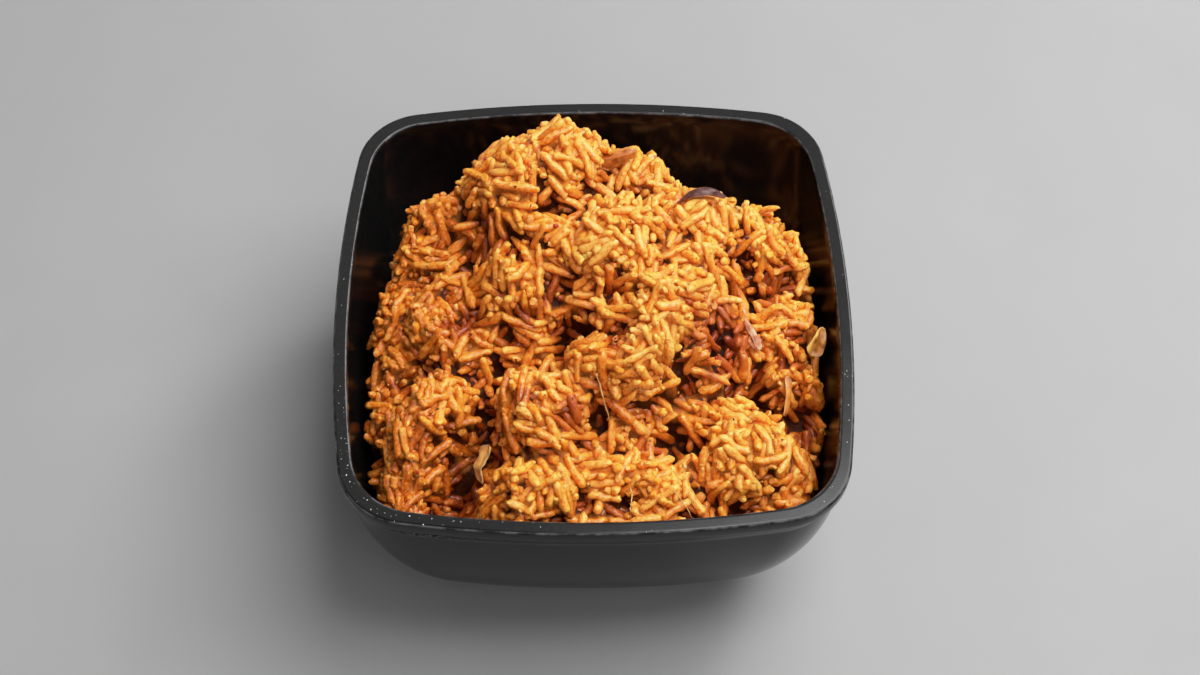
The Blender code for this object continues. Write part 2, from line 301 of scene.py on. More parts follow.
# Places along a grain, its width at each, and how its three last rings share its bluntness.
PATH = np.array([-1.0, -0.94, -0.80, -0.48, 0.0, 0.48, 0.80, 0.94, 1.0])
PATH_WIDTH = np.array([0.56, 0.84, 0.97, 1.0, 0.97, 1.0, 0.97, 0.84, 0.56])
PATH_END = 0.85
BLUNT_SHARES = (1.0, 0.45, 0.15)
BLUNT_LIMITS = (0.4, 1.45)
LEAN = 0.14
WAIST_SPREAD = 0.07
WAIST_LIMITS = (0.82, 1.2)
SLANT = 0.22

# Dust lies mostly at one corner of the rim, and a splash runs down below the lip there.
DUST_CORNER = 1.22 * math.pi
DUST_CORNER_SHARE = 0.45
DUST_SPREAD = 0.35
SPLASH_MIDDLE = 1.30 * math.pi
SPLASH_SPREAD = 0.07
SPLASH_START = 1.25 * math.pi
SPLASH_TOP = 6.2 * MM
SPLASH_FALL = 1.4 * MM
SPLASH_SLOPE = 9 * MM
SPLASH_SIZE = 0.11 * MM
SPLASH_LIMITS = (0.05 * MM, 0.32 * MM)

# Brightness of the light and of the picture, where the bright tones fade off.
SHOULDER = ((0.25, 0.25), (0.5, 0.5), (0.75, 0.697), (1.0, 0.816), (1.4, 0.917), (2.0, 0.985))

# The floor, the surroundings, and by what the right light's power is divided for the left one.
FLOOR_REACH = 3.0
SKY_COLOUR = (1.0, 0.985, 0.97, 1.0)
LEFT_LIGHT_PART = 9

# The camera: its distance in half widths of the bowl, its lens and its angles in degrees.
CAMERA_DISTANCE = 7.39
CAMERA_LENS = 57.15
CAMERA_SENSOR = 36.0
CAMERA_HEIGHT_ANGLE = 56.47
CAMERA_PITCH = 57.50
CAMERA_SIDEWAYS = 0.40
CAMERA_ROLL = -0.62
CAMERA_TURN = 0.84


# --- Helpers ---------------------------------------------------------------------------------


def link(thing):
    bpy.context.scene.collection.objects.link(thing)
    return thing


def add_piece(name, mesh, slot, *replaced):
    """Adds a finished piece of the object."""
    piece = link(bpy.data.objects.new(name, mesh))
    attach(piece, "root")
    if replaced:
        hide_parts(*replaced)


def mesh_from(name, points, faces, finish=None):
    """A smooth mesh of points and faces, with its finish."""
    mesh = bpy.data.meshes.new(name)
    mesh.from_pydata([tuple(point) for point in points], [], [tuple(face) for face in faces])
    mesh.shade_smooth()
    if finish:
        mesh.materials.append(finish)
    return mesh


def turned_out(mesh):
    """Turns the faces of a closed mesh outwards."""
    built = bmesh.new()
    built.from_mesh(mesh)
    bmesh.ops.recalc_face_normals(built, faces=built.faces)
    built.to_mesh(mesh)
    built.free()
    mesh.shade_smooth()
    return mesh


def store(mesh, values):
    """Keeps numbers with a mesh's points, under their names."""
    for key, value in values.items():
        made = mesh.attributes.new(key, "FLOAT", "POINT")
        made.data.foreach_set("value", np.ascontiguousarray(value, np.float32).reshape(-1))


def merged(name):
    """A copy of a CAD node's mesh with its loose triangles joined."""
    built = bmesh.new()
    built.from_mesh(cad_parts[name].data)
    bmesh.ops.remove_doubles(built, verts=built.verts, dist=0.001 * MM)
    mesh = bpy.data.meshes.new(name + "_joined")
    built.to_mesh(mesh)
    built.free()
    return mesh


def vertex_array(mesh):
    values = np.empty(len(mesh.vertices) * 3, np.float32)
    mesh.vertices.foreach_get("co", values)
    return values.reshape(-1, 3).astype(float)


def tree_of(mesh):
    mesh.calc_loop_triangles()
    points = [vertex.co.copy() for vertex in mesh.vertices]
    return BVHTree.FromPolygons(points, [tuple(tri.vertices) for tri in mesh.loop_triangles])


def unit(vectors):
    return vectors / np.maximum(np.linalg.norm(vectors, axis=-1, keepdims=True), 1e-12)


def noises(points, size=1.0):
    """Smooth noise at each of many points."""
    return np.array([noise.noise(Vector(point) / size) for point in points])


def bowl_size():
    """Half width and height of the bowl."""
    low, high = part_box("bowl")
    return (high.x - low.x) / 2, high.z


def feed(tree, socket, value):
    """Gives a socket a link or a value."""
    if isinstance(value, bpy.types.NodeSocket):
        tree.links.new(value, socket)
    else:
        socket.default_value = value


def add_node(tree, kind, inputs=None, **settings):
    """Adds a node, sets its options, and gives each input a value or a link."""
    made = tree.nodes.new(kind)
    for name, value in settings.items():
        setattr(made, name, value)
    for name, value in (inputs or {}).items():
        feed(tree, made.inputs[name], value)
    return made


def from_node(tree, kind, output, inputs=None, **settings):
    """Adds a node and gives one of its outputs."""
    return add_node(tree, kind, inputs, **settings).outputs[output]


def maths(tree, operation, first, second):
    inputs = {0: first, 1: second}
    return from_node(tree, "ShaderNodeMath", "Value", inputs, operation=operation)


def scaled(tree, vector, scale):
    inputs = {"Vector": vector, "Scale": scale}
    return from_node(tree, "ShaderNodeVectorMath", "Vector", inputs, operation="SCALE")


def ranged(tree, value, low, high, first=0.0, last=1.0):
    """Carries a value from one range over to another and stops at its ends."""
    inputs = {"Value": value, "From Min": low, "From Max": high, "To Min": first, "To Max": last}
    return from_node(tree, "ShaderNodeMapRange", "Result", inputs)


def stored(tree, name):
    """Reads a number that a piece keeps with its points."""
    return from_node(tree, "ShaderNodeAttribute", "Fac", attribute_name=name)


def ramp(tree, factor, stops):
    """A colour ramp through (place, colour) stops."""
    made = add_node(tree, "ShaderNodeValToRGB", {"Fac": factor})
    elements = made.color_ramp.elements
    while len(elements) < len(stops):
        elements.new(0.5)
    for element, (place, colour) in zip(elements, stops):
        element.position = place
        element.color = (*colour, 1.0)
    return made.outputs["Color"]


def new_material(name, **sockets):
    """A material and its shader, with constant numbers on the shader's own sockets."""
    made = bpy.data.materials.new(name)
    made.use_nodes = True
    shader = made.node_tree.nodes["Principled BSDF"]
    for socket, value in sockets.items():
        shader.inputs[socket.replace("_", " ")].default_value = value
    return made, made.node_tree, shader


def grain_noise(tree, size, detail=3.0, roughness=0.55, vector=None):
    """Noise of a size in metres, on the piece's own coordinates."""
    place = vector or from_node(tree, "ShaderNodeTexCoord", "Object")
    inputs = {"Vector": place, "Scale": 1 / size, "Detail": detail, "Roughness": roughness}
    return from_node(tree, "ShaderNodeTexNoise", "Fac", inputs)


def bump(tree, shader, height, distance, strength=1.0):
    inputs = {"Height": height, "Distance": distance, "Strength": strength}
    tree.links.new(from_node(tree, "ShaderNodeBump", "Normal", inputs), shader.inputs["Normal"])


def mix(tree, factor, first, second, blend="MIX"):
    made = add_node(tree, "ShaderNodeMix", data_type="RGBA", blend_type=blend)
    colours = [socket for socket in made.inputs if socket.type == "RGBA"]
    for socket, value in zip([made.inputs[0], *colours], (factor, first, second)):
        feed(tree, socket, (*value, 1.0) if isinstance(value, tuple) else value)
    return next(socket for socket in made.outputs if socket.type == "RGBA")


# --- The bowl's shape ------------------------------------------------------------------------


def outline_radius(half, corner, angle):
    """Distance from the middle to the outline in each direction."""
    turned = np.mod(angle, math.pi / 2)
    octant = np.minimum(turned, math.pi / 2 - turned)
    spread = SIDE_RADIUS - 1
    inset = SIDE_RADIUS - corner
    middle = (np.sqrt(2 * inset**2 - spread**2) - spread) / 2
    tangent = np.arctan2(middle, middle + spread)
    join = np.arctan2(SIDE_RADIUS * np.sin(tangent), SIDE_RADIUS * np.cos(tangent) - spread)
    on_side = octant < join
    centre_x = np.where(on_side, -spread, middle)
    centre_y = np.where(on_side, 0.0, middle)
    radius = np.where(on_side, SIDE_RADIUS, corner)
    along = np.cos(octant) * centre_x + np.sin(octant) * centre_y
    return half * (along + np.sqrt(along**2 - centre_x**2 - centre_y**2 + radius**2))


def corner_at(z, height):
    share = np.clip(z / height, 0, 1)
    return FOOT_CORNER + (RIM_CORNER - FOOT_CORNER) * np.sqrt(share)


def wall_curve(top_half, top, floor, steps):
    """Half widths and heights down a wall from its top to its floor."""
    turn = np.linspace(0, math.pi / 2, steps + 1)
    power = 2 / WALL_FULLNESS
    half = FOOT_HALF + (top_half - FOOT_HALF) * np.maximum(np.cos(turn), 0) ** power
    return [(a, b) for a, b in zip(half, top - (top - floor) * np.sin(turn) ** power)]


def wall_half(z, top_half, top, floor):
    share = np.clip((top - z) / (top - floor), 0, 1)
    left = np.maximum(1 - share**WALL_FULLNESS, 0)
    return FOOT_HALF + (top_half - FOOT_HALF) * left ** (1 / WALL_FULLNESS)


def fillet(corner, radius, start, end, steps=5):
    """Points of a rounded edge of the section, between two directions in degrees."""
    turns = np.radians(np.linspace(start, end, steps + 1))
    return [(corner[0] + radius * math.cos(t), corner[1] + radius * math.sin(t)) for t in turns]


def bowl_section(settings, half, height):
    """The section from the recess under the foot, over the rim and down to the inner floor."""
    edge = settings.edge_round
    inner = half - settings.rim_width
    body_top = height - settings.lip_height - edge
    foot_inner = FOOT_HALF - FOOT_WIDTH
    soft = FOOT_SOFT
    foot = [
        (MIDDLE_RING, FOOT_RECESS),
        (foot_inner * 0.6, FOOT_RECESS),
        (foot_inner - soft, FOOT_RECESS),
        (foot_inner, FOOT_RECESS - soft),
        (foot_inner, soft),
        (foot_inner + soft / 3, soft / 3),
        (foot_inner + soft, 0.0),
        (FOOT_HALF - soft, 0.0),
        (FOOT_HALF - soft / 3, soft / 3),
        (FOOT_HALF, soft),
    ]
    outside = wall_curve(half - settings.lip_overhang, body_top, FOOT_HEIGHT, 30)[::-1]
    under = fillet((half - edge, body_top + edge), edge, -80, 0)
    outer = fillet((half - edge, height - edge), edge, 0, 90)
    flat_places = (half - edge * 1.25, (half + inner) / 2, inner + edge * 1.25)
    flat = [(place, height) for place in flat_places]
    inside_edge = fillet((inner + edge, height - edge), edge, 90, 180)
    inside = wall_curve(inner, height - edge, INNER_FLOOR, 34)
    centre = [(FOOT_HALF * 0.5, INNER_FLOOR), (MIDDLE_RING, INNER_FLOOR)]
    return foot + outside + under + outer + flat + inside_edge + inside[1:] + centre


def outline_angles(steps):
    """Directions round the outline, closest together at its corners."""
    eighth = math.pi / 4
    share = np.arange(steps) / steps
    rising = eighth - eighth * (1 - share) ** 1.5
    quarter = np.concatenate([rising, [eighth], (2 * eighth - rising)[:0:-1]])
    return np.concatenate([quarter + turn * 2 * eighth for turn in range(4)])


# --- The rice's top as a height field --------------------------------------------------------


class Field:
    """Heights on a square grid, read between its points."""

    def __init__(self, values, low, cell=CELL):
        self.values = values
        self.low = low
        self.cell = cell

    def read(self, x, y):
        """Height and slopes along x and y."""
        last = self.values.shape[0] - 1.001
        column = np.clip((x - self.low) / self.cell, 0, last)
        row = np.clip((y - self.low) / self.cell, 0, last)
        i, j = column.astype(int), row.astype(int)
        s, t = column - i, row - j
        a, b = self.values[i, j], self.values[i + 1, j]
        c, d = self.values[i, j + 1], self.values[i + 1, j + 1]
        level = (a * (1 - s) + b * s) * (1 - t) + (c * (1 - s) + d * s) * t
        slope_x = ((b - a) * (1 - t) + (d - c) * t) / self.cell
        slope_y = ((c - a) * (1 - s) + (d - b) * s) / self.cell
        return level, slope_x, slope_y

    def above(self, points):
        """How far each point stands above the surface, square to it, and the way out of it."""
        level, slope_x, slope_y = self.read(points[..., 0], points[..., 1])
        outward = unit(np.stack([-slope_x, -slope_y, np.ones_like(level)], -1))
        return (points[..., 2] - level) * outward[..., 2], outward


def blurred(values, rounds):
    for _ in range(rounds):
        padded = np.pad(values, 1, mode="edge")
        values = (padded[:-2, 1:-1] + padded[2:, 1:-1] + 2 * values) / 4
        padded = np.pad(values, 1, mode="edge")
        values = (padded[1:-1, :-2] + padded[1:-1, 2:] + 2 * values) / 4
    return values


def heights_below(tree, x, y, start):
    """Height of the first face under each place of a grid, and not a number where there is none."""
    down = Vector((0, 0, -1))
    heights = np.full(x.shape, np.nan)
    for spot in np.ndindex(x.shape):
        hit = tree.ray_cast(Vector((x[spot], y[spot], start)), down)[0]
        if hit:
            heights[spot] = hit.z
    return heights


def rice_top():
    """Heights of the heap over a grid, carried on flat beyond its border."""
    low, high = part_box("rice_heap")
    reach = max(high.x, high.y, -low.x, -low.y) + 2 * CELL
    count = int(2 * reach / CELL) + 1
    places = -reach + CELL * np.arange(count)
    joined = merged("rice_heap")
    x, y = np.meshgrid(places, places, indexing="ij")
    heights = heights_below(tree_of(joined), x, y, high.z + RAY_START)
    missing = np.isnan(heights)
    while missing.any():
        padded = np.pad(heights, 1, constant_values=np.nan)
        near = np.stack([padded[:-2, 1:-1], padded[2:, 1:-1], padded[1:-1, :-2], padded[1:-1, 2:]])
        known = ~np.isnan(near)
        total = np.where(known, near, 0).sum(0)
        fill = missing & known.any(0)
        heights[fill] = total[fill] / known.sum(0)[fill]
        missing = np.isnan(heights)
    bpy.data.meshes.remove(joined)
    return Field(blurred(heights, BLUR_ROUNDS), -reach)


def with_relief(field):
    """The same top with calmer lumps and valleys, finer relief, and the hollows between clumps."""
    change = LUMP_CONTRAST * (field.values - blurred(field.values, LUMP_BLUR_ROUNDS))
    field = Field(field.values + np.clip(change, -LUMP_LOWERED, VALLEY_FILLED), field.low)
    places = field.low + field.cell * np.arange(field.values.shape[0])
    x, y = np.meshgrid(places, places, indexing="ij")
    extra = np.zeros(x.shape)
    for size, height in RELIEF:
        layer = np.full_like(x, RELIEF_LAYER + size)
        spots = np.stack([x / size, y / size, layer], -1).reshape(-1, 3)
        extra += height * noises(spots).reshape(x.shape)
    near = np.abs(noises(zip(x.flat, y.flat, field.values.flat), CREVICE_SIZE)) / CREVICE_SHARE
    extra -= CREVICE_DEPTH * np.maximum(0.0, 1 - near).reshape(x.shape)
    summit = np.clip((field.values - field.values.max()) / SUMMIT_HEIGHT + 1, 0, 1)
    extra *= 1 - SUMMIT_CALM * summit
    for share_x, share_y, reach, depth in HOLLOWS:
        middle = heap_spot(share_x, share_y)
        away = ((x - middle[0]) ** 2 + (y - middle[1]) ** 2) / reach**2
        extra -= depth * np.exp(-away)
    return Field(field.values + extra, field.low)


def shifted(values, size):
    """Copies of a grid moved by up to size cells, each with the square of how far it moved."""
    count = values.shape[0]
    padded = np.pad(values, size, mode="edge")
    for i in range(2 * size + 1):
        for j in range(2 * size + 1):
            away = (i - size) ** 2 + (j - size) ** 2
            yield away, padded[i : i + count, j : j + count]


def lowered(field, depth):
    """The surface that lies everywhere a depth below a height field."""
    lowest = np.full(field.values.shape, np.inf)
    for away, part in shifted(field.values, int(depth / field.cell)):
        room = depth**2 - away * field.cell**2
        if room >= 0:
            lowest = np.minimum(lowest, part - math.sqrt(room))
    return Field(lowest, field.low, field.cell)


def filtered(values, reach, pick):
    """The highest or lowest value within a few cells of each cell."""
    result = values
    for away, part in shifted(values, int(reach)):
        if away <= reach * reach:
            result = pick(result, part)
    return result


def joined_tree(names):
    """One search tree over the faces of several pieces."""
    points, faces, count = [], [], 0
    for name in names:
        mesh = bpy.data.objects[name].data
        mesh.calc_loop_triangles()
        places = vertex_array(mesh)
        index = np.empty(len(mesh.loop_triangles) * 3, np.int32)
        mesh.loop_triangles.foreach_get("vertices", index)
        points.append(places)
        faces.append(index.reshape(-1, 3) + count)
        count += len(places)
    return BVHTree.FromPolygons(np.concatenate(points).tolist(), np.concatenate(faces).tolist())


def clinging(core, settings):
    """The surface of the rice that clings between the grains, and one over all their tops."""
    tree = joined_tree("grains_" + kind for kind in GRAIN_COLOURS)
    cell = settings.core_detail
    places = core.low + cell * np.arange(int(-2 * core.low / cell) + 1)
    x, y = np.meshgrid(places, places, indexing="ij")
    deep = core.read(x, y)[0]
    heights = np.fmax(heights_below(tree, x, y, deep.max() + 0.1), deep)
    tops = envelope(heights, cell, core.low)
    reach = settings.cling_reach / cell
    heights = filtered(filtered(heights, reach, np.maximum), reach, np.minimum)
    heights = filtered(filtered(heights, reach, np.minimum), reach, np.maximum)
    filled = Field(blurred(heights, 1), core.low, cell)
    level = lowered(filled, settings.cling_depth).values
    level += CRUMB_HEIGHT * noises(zip(x.flat, y.flat, level.flat), CRUMB_SIZE).reshape(x.shape)
    return Field(np.maximum(level, deep), core.low, cell), tops


# --- Packing the grains ----------------------------------------------------------------------


class Wall:
    """Inner wall of the bowl as a table of radii by direction and height."""

    ANGLES = 720
    LEVELS = 90

    def __init__(self, settings):
        half, height = bowl_size()
        self.height = height
        angle = np.linspace(0, 2 * math.pi, self.ANGLES, endpoint=False)[:, None]
        z = np.linspace(0, height, self.LEVELS)[None, :]
        inner = half - settings.rim_width
        halves = wall_half(z, inner, height - settings.edge_round, INNER_FLOOR)
        self.radii = outline_radius(halves, corner_at(z, height), angle)

    def room(self, points):
        """How far each point is inside the wall, measured from the middle."""
        x, y, z = points[..., 0], points[..., 1], points[..., 2]
        turn = np.mod(np.arctan2(y, x), 2 * math.pi) / (2 * math.pi) * self.ANGLES
        step = turn.astype(int)
        share = turn - step
        level = np.clip(z / self.height, 0, 1) * (self.LEVELS - 1)
        level = np.minimum(level.astype(int), self.LEVELS - 1)
        first = self.radii[step % self.ANGLES, level]
        second = self.radii[(step + 1) % self.ANGLES, level]
        return first * (1 - share) + second * share - np.hypot(x, y)


def close_pairs(points, owners, reach):
    """Index pairs of points of different owners that lie within reach of each other."""
    cells = np.floor((points - points.min(0)) / reach).astype(np.int64) + 1
    size = cells.max(0) + 2
    stride = np.array([1, size[0], size[0] * size[1]])
    keys = cells @ stride
    order = np.argsort(keys, kind="stable")
    ranked = keys[order]
    ways = [(i, j, k) for k in (-1, 0, 1) for j in (-1, 0, 1) for i in (-1, 0, 1)]
    firsts, seconds = [], []
    for offset in (way for way in ways if way[::-1] >= (0, 0, 0)):
        wanted = keys + np.dot(offset, stride)
        start = np.searchsorted(ranked, wanted, "left")
        count = np.searchsorted(ranked, wanted, "right") - start
        first = np.repeat(np.arange(len(points)), count)
        within = np.arange(len(first)) - np.repeat(np.cumsum(count) - count, count)
        second = order[np.repeat(start, count) + within]
        if offset == (0, 0, 0):
            once = first < second
            first, second = first[once], second[once]
        apart = owners[first] != owners[second]
        first, second = first[apart], second[apart]
        near = ((points[first] - points[second]) ** 2).sum(1) < reach**2
        firsts.append(first[near])
        seconds.append(second[near])
    return np.concatenate(firsts), np.concatenate(seconds)


def pushed_apart(points, sizes, weights, pairs):
    """How far each point has to move so that no two overlap."""
    first, second = pairs
    apart = points[second] - points[first]
    distance = np.maximum(np.linalg.norm(apart, axis=1), 1e-9)
    overlap = sizes[first] + sizes[second] - distance
    hit = overlap > 0
    first, second = first[hit], second[hit]
    total = weights[first] + weights[second]
    push = apart[hit] * (overlap[hit] / distance[hit] / np.maximum(total, 1e-9))[:, None]
    count = len(points)
    moved = np.empty_like(points)
    for axis in range(3):
        moved[:, axis] = np.bincount(second, push[:, axis], count)
        moved[:, axis] -= np.bincount(first, push[:, axis], count)
    share = np.bincount(first, minlength=count) + np.bincount(second, minlength=count)
    return moved * weights[:, None] / np.maximum(share, 1)[:, None] ** 0.5


def shape_goal(chains, rest):
    """Each chain's rest shape, laid over the chain as closely as it fits."""
    centre = chains.mean(1, keepdims=True)
    spread = np.einsum("nka,nkb->nab", chains - centre, rest)
    left, _, right = np.linalg.svd(spread)
    turned = np.linalg.det(left @ right) < 0
    left[turned, :, 2] *= -1
    return centre + np.einsum("nab,nkb->nka", left @ right, rest)


def rest_shapes(rng, settings):
    """Bent centre lines of grains, and their radii."""
    count = settings.grain_count
    length = rng.normal(settings.grain_length, settings.length_spread, count)
    length = np.clip(length, *(limit * settings.grain_length for limit in LENGTH_LIMITS))
    broken = rng.random(count) < settings.broken_share
    length[broken] *= rng.uniform(*BROKEN_LENGTHS, broken.sum())
    radius = settings.grain_width / 2 * rng.normal(1, WIDTH_SPREAD, count).clip(*WIDTH_LIMITS)
    bend = np.radians(np.abs(rng.normal(0, settings.bend, count))).clip(*BEND_LIMITS)
    bend[rng.random(count) < SHARP_SHARE] += SHARP_BEND
    bend *= length / settings.grain_length
    along = np.linspace(-0.5, 0.5, CHAIN)[None, :] * (length - END_RADII * radius)[:, None]
    curl = (bend / length)[:, None]
    rest = np.stack([np.sin(curl * along) / curl, (1 - np.cos(curl * along)) / curl], -1)
    rest = np.concatenate([rest, WOBBLE * rng.normal(0, 1, (count, CHAIN, 1))], -1)
    return rest - rest.mean(1, keepdims=True), radius


def scattered(rng, top, wall, count):
    """Random places on the heap's top, and the way out of it at each."""
    grid = top.values.shape[0]
    i, j = np.meshgrid(np.arange(grid - 1), np.arange(grid - 1), indexing="ij")
    x = top.low + (i.ravel() + 0.5) * top.cell
    y = top.low + (j.ravel() + 0.5) * top.cell
    level, slope_x, slope_y = top.read(x, y)
    area = np.sqrt(1 + slope_x**2 + slope_y**2).clip(1, 6)
    area[wall.room(np.stack([x, y, level], -1)) < WALL_MARGIN] = 0
    picked = rng.choice(len(x), count, p=area / area.sum())
    x = x[picked] + rng.uniform(-0.5, 0.5, count) * top.cell
    y = y[picked] + rng.uniform(-0.5, 0.5, count) * top.cell
    level = top.read(x, y)[0]
    place = np.stack([x, y, level], -1)
    return place, top.above(place)[1]


def seeded_places(rng, top, wall, settings):
    """Random places and directions in the layer of loose grains."""
    count = settings.grain_count
    place, outward = scattered(rng, top, wall, count)
    place = place - outward * rng.uniform(START_DEPTH, settings.loose_depth, count)[:, None]
    layers = [Vector(layer) for layer in STREAM_LAYERS]
    stream = [[noise.noise(Vector(p / STREAM_SIZE) + layer) for layer in layers] for p in place]
    direction = rng.normal(0, 1, (count, 3)) + settings.alignment * STREAM_PULL * np.array(stream)
    direction = unit(direction)
    rise = (direction * outward).sum(1, keepdims=True)
    direction = unit(direction - outward * rise * (1 - settings.upright))
    return place, outward, direction


def laid_chains(rng, rest, place, direction, outward):
    """Chains moved to their places and turned along their directions."""
    side = unit(np.cross(direction, outward + ROLL_SPREAD * rng.normal(0, 1, outward.shape)))
    third = np.cross(direction, side)
    roll = rng.uniform(0, 2 * math.pi, len(rest))[:, None]
    turned = np.cos(roll) * side + np.sin(roll) * third
    turns = np.stack([direction, turned, np.cross(direction, turned)], -1)
    return place[:, None, :] + np.einsum("nab,nkb->nka", turns, rest)


def allowances(rng, settings):
    """How far each ball of a chain may stand above the top: more at the ends than between."""
    count = settings.grain_count
    middle = rng.choice(MIDDLE_RISES, count, p=RISE_ODDS)
    ends = np.abs(rng.normal(0, 1, (count, 2))) * settings.stray_height
    share = np.linspace(-1, 1, CHAIN)
    first = np.clip(-share, 0, 1) ** END_POWER
    second = np.clip(share, 0, 1) ** END_POWER
    return middle[:, None] + ends[:, :1] * first + ends[:, 1:] * second


def outside_pits(chains, top, plain):
    """Which grains stay: those near the top of scattered pits and across hollows are taken out."""
    middle = chains[:, CHAIN // 2]
    height = top.above(middle)[0]
    pit = noises(middle / PIT_SIZE + PIT_PLACE)
    x, y = middle[:, 0], middle[:, 1]
    dug = plain.read(x, y)[0] - top.read(x, y)[0]
    bridging = (dug > BRIDGED_DEPTH) & (height > BRIDGE_HEIGHT)
    return ((height < -PIT_DEPTH) | (pit < PIT_LEVEL)) & ~bridging


def shade_and_oil_share(places):
    """How dark and red the rice is made: low in the bowl, with painted shade at its sides, oily by
    some slices and in drifts.
    """
    low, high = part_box("rice_heap")
    share = DARKER_LOW * (1 - (places[:, 2] - low.z) / (high.z - low.z))
    share += OILY_DRIFTS * noises(places / DRIFT_SIZE)
    aside = places[:, 0] / high.x
    # Painted shade at the left and right sides.
    share += PAINTED_SHADE_LEFT * np.clip(-aside, 0, 1) + PAINTED_SHADE_RIGHT * np.clip(aside - RIGHT_START, 0, 1)
    for node in OILY_SLICES:
        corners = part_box(node)
        away = np.linalg.norm(places - np.array((corners[0] + corners[1]) / 2), axis=1)
        share += OILY_BESIDE * np.exp(-((away / OILY_REACH) ** 2))
    return share


def heap_spot(share_x, share_y):
    """A place over the heap, given as shares of its width and depth."""
    low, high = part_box("rice_heap")
    x = low.x + (high.x - low.x) * share_x
    return np.array([x, low.y + (high.y - low.y) * share_y])


def sauce_stain(points):
    """How much sauce lies on points of the rice: in a few patches, and beside the vegetables."""
    flat = points.reshape(-1, 3)
    stain = np.zeros(len(flat))
    for share_x, share_y, reach in SAUCE_SPOTS:
        away = np.linalg.norm(flat[:, :2] - heap_spot(share_x, share_y), axis=1)
        stain += np.exp(-((away / reach) ** 2))
    stain = 1.5 * stain + 1.1 * noises(flat / SAUCE_RAGGED) - 0.35
    return np.clip(stain, 0, 1).reshape(points.shape[:-1])


def slice_guards():
    """Balls that fill the slices, and balls in front of them that keep them in sight."""
    places, sizes = [], []
    for name in SLICES:
        joined = merged(name)
        points = vertex_array(joined)
        normals = np.array([vertex.normal[:] for vertex in joined.vertices])
        seen = normals @ unit(np.array(FRONT)) > FACING
        seen &= points[:, 2] >= np.quantile(points[:, 2], 1 - SLICE_CLEAR[name])
        places += [points, points[seen] + normals[seen] * SCREEN_LIFT]
        sizes += [np.full(len(points), GUARD_SIZE), np.full(seen.sum(), SCREEN_SIZE)]
        bpy.data.meshes.remove(joined)
    return np.concatenate(places), np.concatenate(sizes)


def settle(chains, rest, radius, proud, top, core, wall):
    """Moves the chains until they touch and no longer overlap, between core, top and wall."""
    count = len(chains)
    guards, guard_sizes = slice_guards()
    owners = np.concatenate([np.repeat(np.arange(count), CHAIN), count + np.zeros(len(guards))])
    sizes = np.concatenate([np.repeat(radius, CHAIN) * TOUCH, guard_sizes])
    weights = np.concatenate([np.ones(count * CHAIN), np.zeros(len(guards))])
    size = radius[:, None]
    for step in range(SETTLE_ROUNDS):
        points = np.concatenate([chains.reshape(-1, 3), guards])
        if step % PAIR_ROUNDS == 0:
            pairs = close_pairs(points, owners, PAIR_REACH * radius.mean())
        moved = pushed_apart(points, sizes, weights, pairs)[: count * CHAIN]
        chains = chains + moved.reshape(count, CHAIN, 3)
        stiff = STIFFNESS if step < SETTLE_ROUNDS - LAST_ROUNDS else LAST_STIFFNESS
        chains += stiff * (shape_goal(chains, rest) - chains)
        height, outward = top.above(chains)
        over = height + size - proud
        chains -= outward * np.clip(over, 0, LARGEST_STEP)[..., None]
        if step < SINK_ROUNDS:
            chains -= outward * SINK_STEP
        height, outward = core.above(chains)
        under = size * CORE_TOUCH - height
        chains += outward * np.clip(under, 0, LARGEST_STEP)[..., None]
        tight = size + WALL_GAP - wall.room(chains)
        inward = -unit(chains * np.array([1.0, 1.0, 0.0]))
        chains += inward * np.maximum(tight, 0)[..., None]
    return chains


def envelope(heights, cell, low):
    """A smooth surface over the tops of what lies on the heap."""
    heights = filtered(heights, ENVELOPE_REACH / cell, np.maximum)
    return Field(blurred(heights, int(2 * (ENVELOPE_BLUR / cell) ** 2)), low, cell)


def depth_share(field, points):
    """How deep points lie below a surface: 0 on it, 1 where little light comes down to them."""
    return np.clip(-field.above(points)[0] / DEEP, 0, 1)


def hollow_share(plain, points):
    """How far points lie down in the hollows of the heap's plain top."""
    return np.clip((-plain.above(points)[0] - HOLLOW_START) / HOLLOW_REACH, 0, 1)


def chain_tops(chains, radius, top):
    """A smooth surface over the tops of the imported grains."""
    heights = top.values - BARE_DEPTH
    cells = np.rint((chains[..., :2] - top.low) / top.cell).astype(int)
    cells = np.clip(cells, 0, heights.shape[0] - 1)
    level = (chains[..., 2] + radius[:, None]).ravel()
    np.maximum.at(heights, (cells[..., 0].ravel(), cells[..., 1].ravel()), level)
    return envelope(heights, top.cell, top.low)


